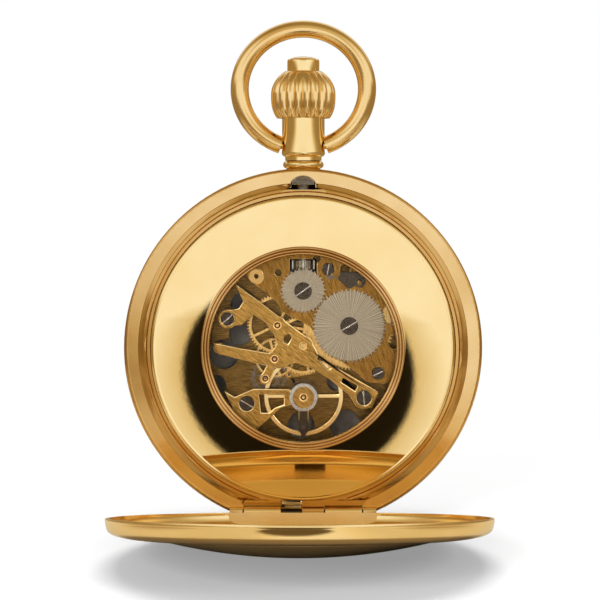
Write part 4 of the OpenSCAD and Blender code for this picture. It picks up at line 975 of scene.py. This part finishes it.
# %% Light tent
tent_cloth, tree, shader = finish_named("light_tent")
tree.nodes.remove(shader)
direction = vector_step(tree, "NORMALIZE", own_place(tree))["Vector"]
side, depth, height = add(tree, "ShaderNodeSeparateXYZ", Vector=direction).outputs

# A front panel, narrow at the horizon and wide above it, with a dimmer patch over the camera
across = step(tree, "MULTIPLY", side, eased(tree, height, 0.12, 0.3, 1.0, 0.5))
width = step(tree, "MULTIPLY", eased(tree, across, -0.85, -0.5), eased(tree, across, 0.95, 0.6))
front = step(tree, "MULTIPLY", eased(tree, depth, 0.3, -0.5), eased(tree, height, 0.9, 0.5))
panel = step(tree, "MULTIPLY", width, front)
beside = eased(tree, step(tree, "ABSOLUTE", side), 0.26, 0.4)
ends = step(tree, "MAXIMUM", eased(tree, height, 0.3, 0.22), eased(tree, height, 0.6, 0.75))
open_sky = step(tree, "MAXIMUM", beside, ends)
panel = step(tree, "MULTIPLY", panel, step(tree, "MAXIMUM", open_sky, 0.5))

# A dimmer panel behind the watch, high up
behind = step(tree, "MULTIPLY", eased(tree, depth, 0.25, 0.5), eased(tree, height, 0.3, 0.45))
panel = step(tree, "MAXIMUM", panel, step(tree, "MULTIPLY", behind, 0.8))
glow = add(tree, "ShaderNodeEmission", Color=ramp(tree, panel, WARM_CLOTH), Strength=1.0)
surface(tree, glow.outputs["Emission"])
work = bmesh.new()
bmesh.ops.create_uvsphere(work, u_segments=64, v_segments=32, radius=1.2)
for_mirrors_only(stage_mesh("light_tent", work, tent_cloth))


# %% Cards
def card(name, material, place, wide, deep, turn=0.0):
    """A round card, in millimetres from the middle plane of the watch."""
    work = bmesh.new()
    bmesh.ops.create_circle(work, cap_ends=True, segments=64, radius=1)
    bmesh.ops.scale(work, vec=(wide * MM, deep * MM, 1), verts=work.verts)
    thing = stage_mesh(name, work, material)
    thing.location = Vector(place) * MM + Vector((0, MID_Y, 0))
    thing.rotation_euler = (turn, 0, 0)
    for_mirrors_only(thing)


def matt_card(name, tone, soft):
    """Matt card whose edge fades out over a share of its radius."""
    material, tree, shader = finish_named(name)
    shader.inputs["Base Color"].default_value = tone
    shader.inputs["Roughness"].default_value = 1.0
    shader.inputs["Specular IOR Level"].default_value = 0.0
    place = add(tree, "ShaderNodeTexCoord").outputs["Generated"]
    around = vector_step(tree, "MULTIPLY_ADD", place, (2, 2, 0), (-1, -1, 0))["Vector"]
    gone = eased(tree, vector_step(tree, "LENGTH", around)["Value"], 1 - soft, 1.0)
    clear = add(tree, "ShaderNodeBsdfTransparent").outputs["BSDF"]
    faded = add(tree, "ShaderNodeMixShader", i0=gone, i1=shader.outputs["BSDF"], i2=clear)
    surface(tree, faded.outputs["Shader"])
    return material


# %% [markdown]
# Each card is there for one dark or warm patch in the photo. The black disc stands in the spot
# where the dish's reflections meet, so it looks large and gives the crescent. In front of it stands
# an amber filter that clears outward and downward, which gives the crescent its warm halo. Four
# cards lie on the floor: buff under the cover, brown in front of it and tan on each side. The buff
# card is painted shadow: it darkens the floor in the cover's shadow as the mirrors see it.

# %% Cards in their places
MEETING_SPOT = Vector((-3.7, -235, 2.78))
UPRIGHT = math.pi / 2
black = matt_card("black_card", (0.02, 0.018, 0.015, 1), 0.06)
card("black_disc", black, MEETING_SPOT, 3.25, 3.25, UPRIGHT)

amber, tree, shader = finish_named("amber_filter")
tree.nodes.remove(shader)
place = own_place(tree)
upward = add(tree, "ShaderNodeSeparateXYZ", Vector=place).outputs["Y"]
drop = add(
    tree, "ShaderNodeMapRange", Value=upward, i1=-1.5 * MM, i2=-2.7 * MM, i3=0, i4=1.6 * MM
).outputs["Result"]
away = step(tree, "ADD", vector_step(tree, "LENGTH", place)["Value"], drop)
share = add(tree, "ShaderNodeMapRange", Value=away, i1=3 * MM, i2=5 * MM).outputs["Result"]
gel = ramp(tree, share, [(0.1, (0.74, 0.63, 0.42, 1)), (0.48, (1, 1, 1, 1))])
surface(tree, add(tree, "ShaderNodeBsdfTransparent", Color=gel).outputs["BSDF"])
card("amber_filter", amber, MEETING_SPOT + Vector((0, 0.1, 0)), 5, 5, UPRIGHT)

tan = matt_card("tan_card", (0.3, 0.21, 0.11, 1), 0.6)
shadow_buff = matt_card("buff_card_painted_shadow", (0.5, 0.36, 0.2, 1), 0.15)
brown = matt_card("brown_card", (0.1, 0.07, 0.035, 1), 0.18)
# Painted shadow: the buff card darkens, for reflections only, the floor in the cover's shadow.
card("under_card_painted_shadow", shadow_buff, (0, -25.4, 0.1), 26, 26)
card("front_card", brown, (-1, -93, 0.1), 19, 34)
card("left_card", tan, (-68, -45, 0.1), 36, 42)
card("right_card", tan, (68, -45, 0.1), 36, 42)


# %% Lamps
def softbox(name, place, side, power):
    """Square lamp aimed at the watch, not shown in reflections."""
    data = bpy.data.lights.new(name, "AREA")
    data.shape = "SQUARE"
    data.size = side
    data.energy = power
    lamp = bpy.data.objects.new(name, data)
    lamp.location = place
    aim = Vector((0, 0.01, 0.02)) - Vector(place)
    lamp.rotation_euler = aim.to_track_quat("-Z", "Y").to_euler()
    bpy.context.scene.collection.objects.link(lamp)
    lamp.visible_camera = False
    lamp.visible_glossy = False
    return lamp


softbox("overhead", (0.0, 0.12, 0.9), 0.6, 6.5)
softbox("front_left", (-0.5, -0.9, 0.45), 0.4, 8)
softbox("front_right", (0.7, -0.6, 0.5), 0.3, 3)

# A small lamp high on the right lights the movement alone, so that its edges sparkle
movement = bpy.data.collections.new("movement")
SPARKLING = (
    "train_bridge", "balance_cock", "barrel_bridge", "main_plate", "bridge_screws",
    "ratchet_screw", "crown_wheel_screw", "centre_wheel", "third_wheel", "click",
    "fourth_wheel", "balance_wheel", "regulator", "pallet_cock", "winding_pinion",
)
for node in SPARKLING:
    movement.objects.link(pieces[node])
spark = softbox("movement_spark", (0.25, -0.3, 0.42), 0.08, 12)
spark.visible_glossy = True
spark.light_linking.receiver_collection = movement

# %% Background
world = bpy.data.worlds.new("studio")
bpy.context.scene.world = world
world.use_nodes = True
tree = world.node_tree
background = tree.nodes["Background"]
background.inputs["Color"].default_value = (1, 1, 1, 1)
path = add(tree, "ShaderNodeLightPath")
seen = step(tree, "MAXIMUM", path.outputs["Is Camera Ray"], path.outputs["Is Glossy Ray"])
seen = step(tree, "MAXIMUM", seen, path.outputs["Is Transmission Ray"])
level = add(tree, "ShaderNodeMapRange", Value=seen, i3=0.35, i4=1.0).outputs["Result"]
tree.links.new(level, background.inputs["Strength"])
bpy.context.scene.view_settings.view_transform = "Standard"
bpy.context.scene.cycles.caustics_reflective = False
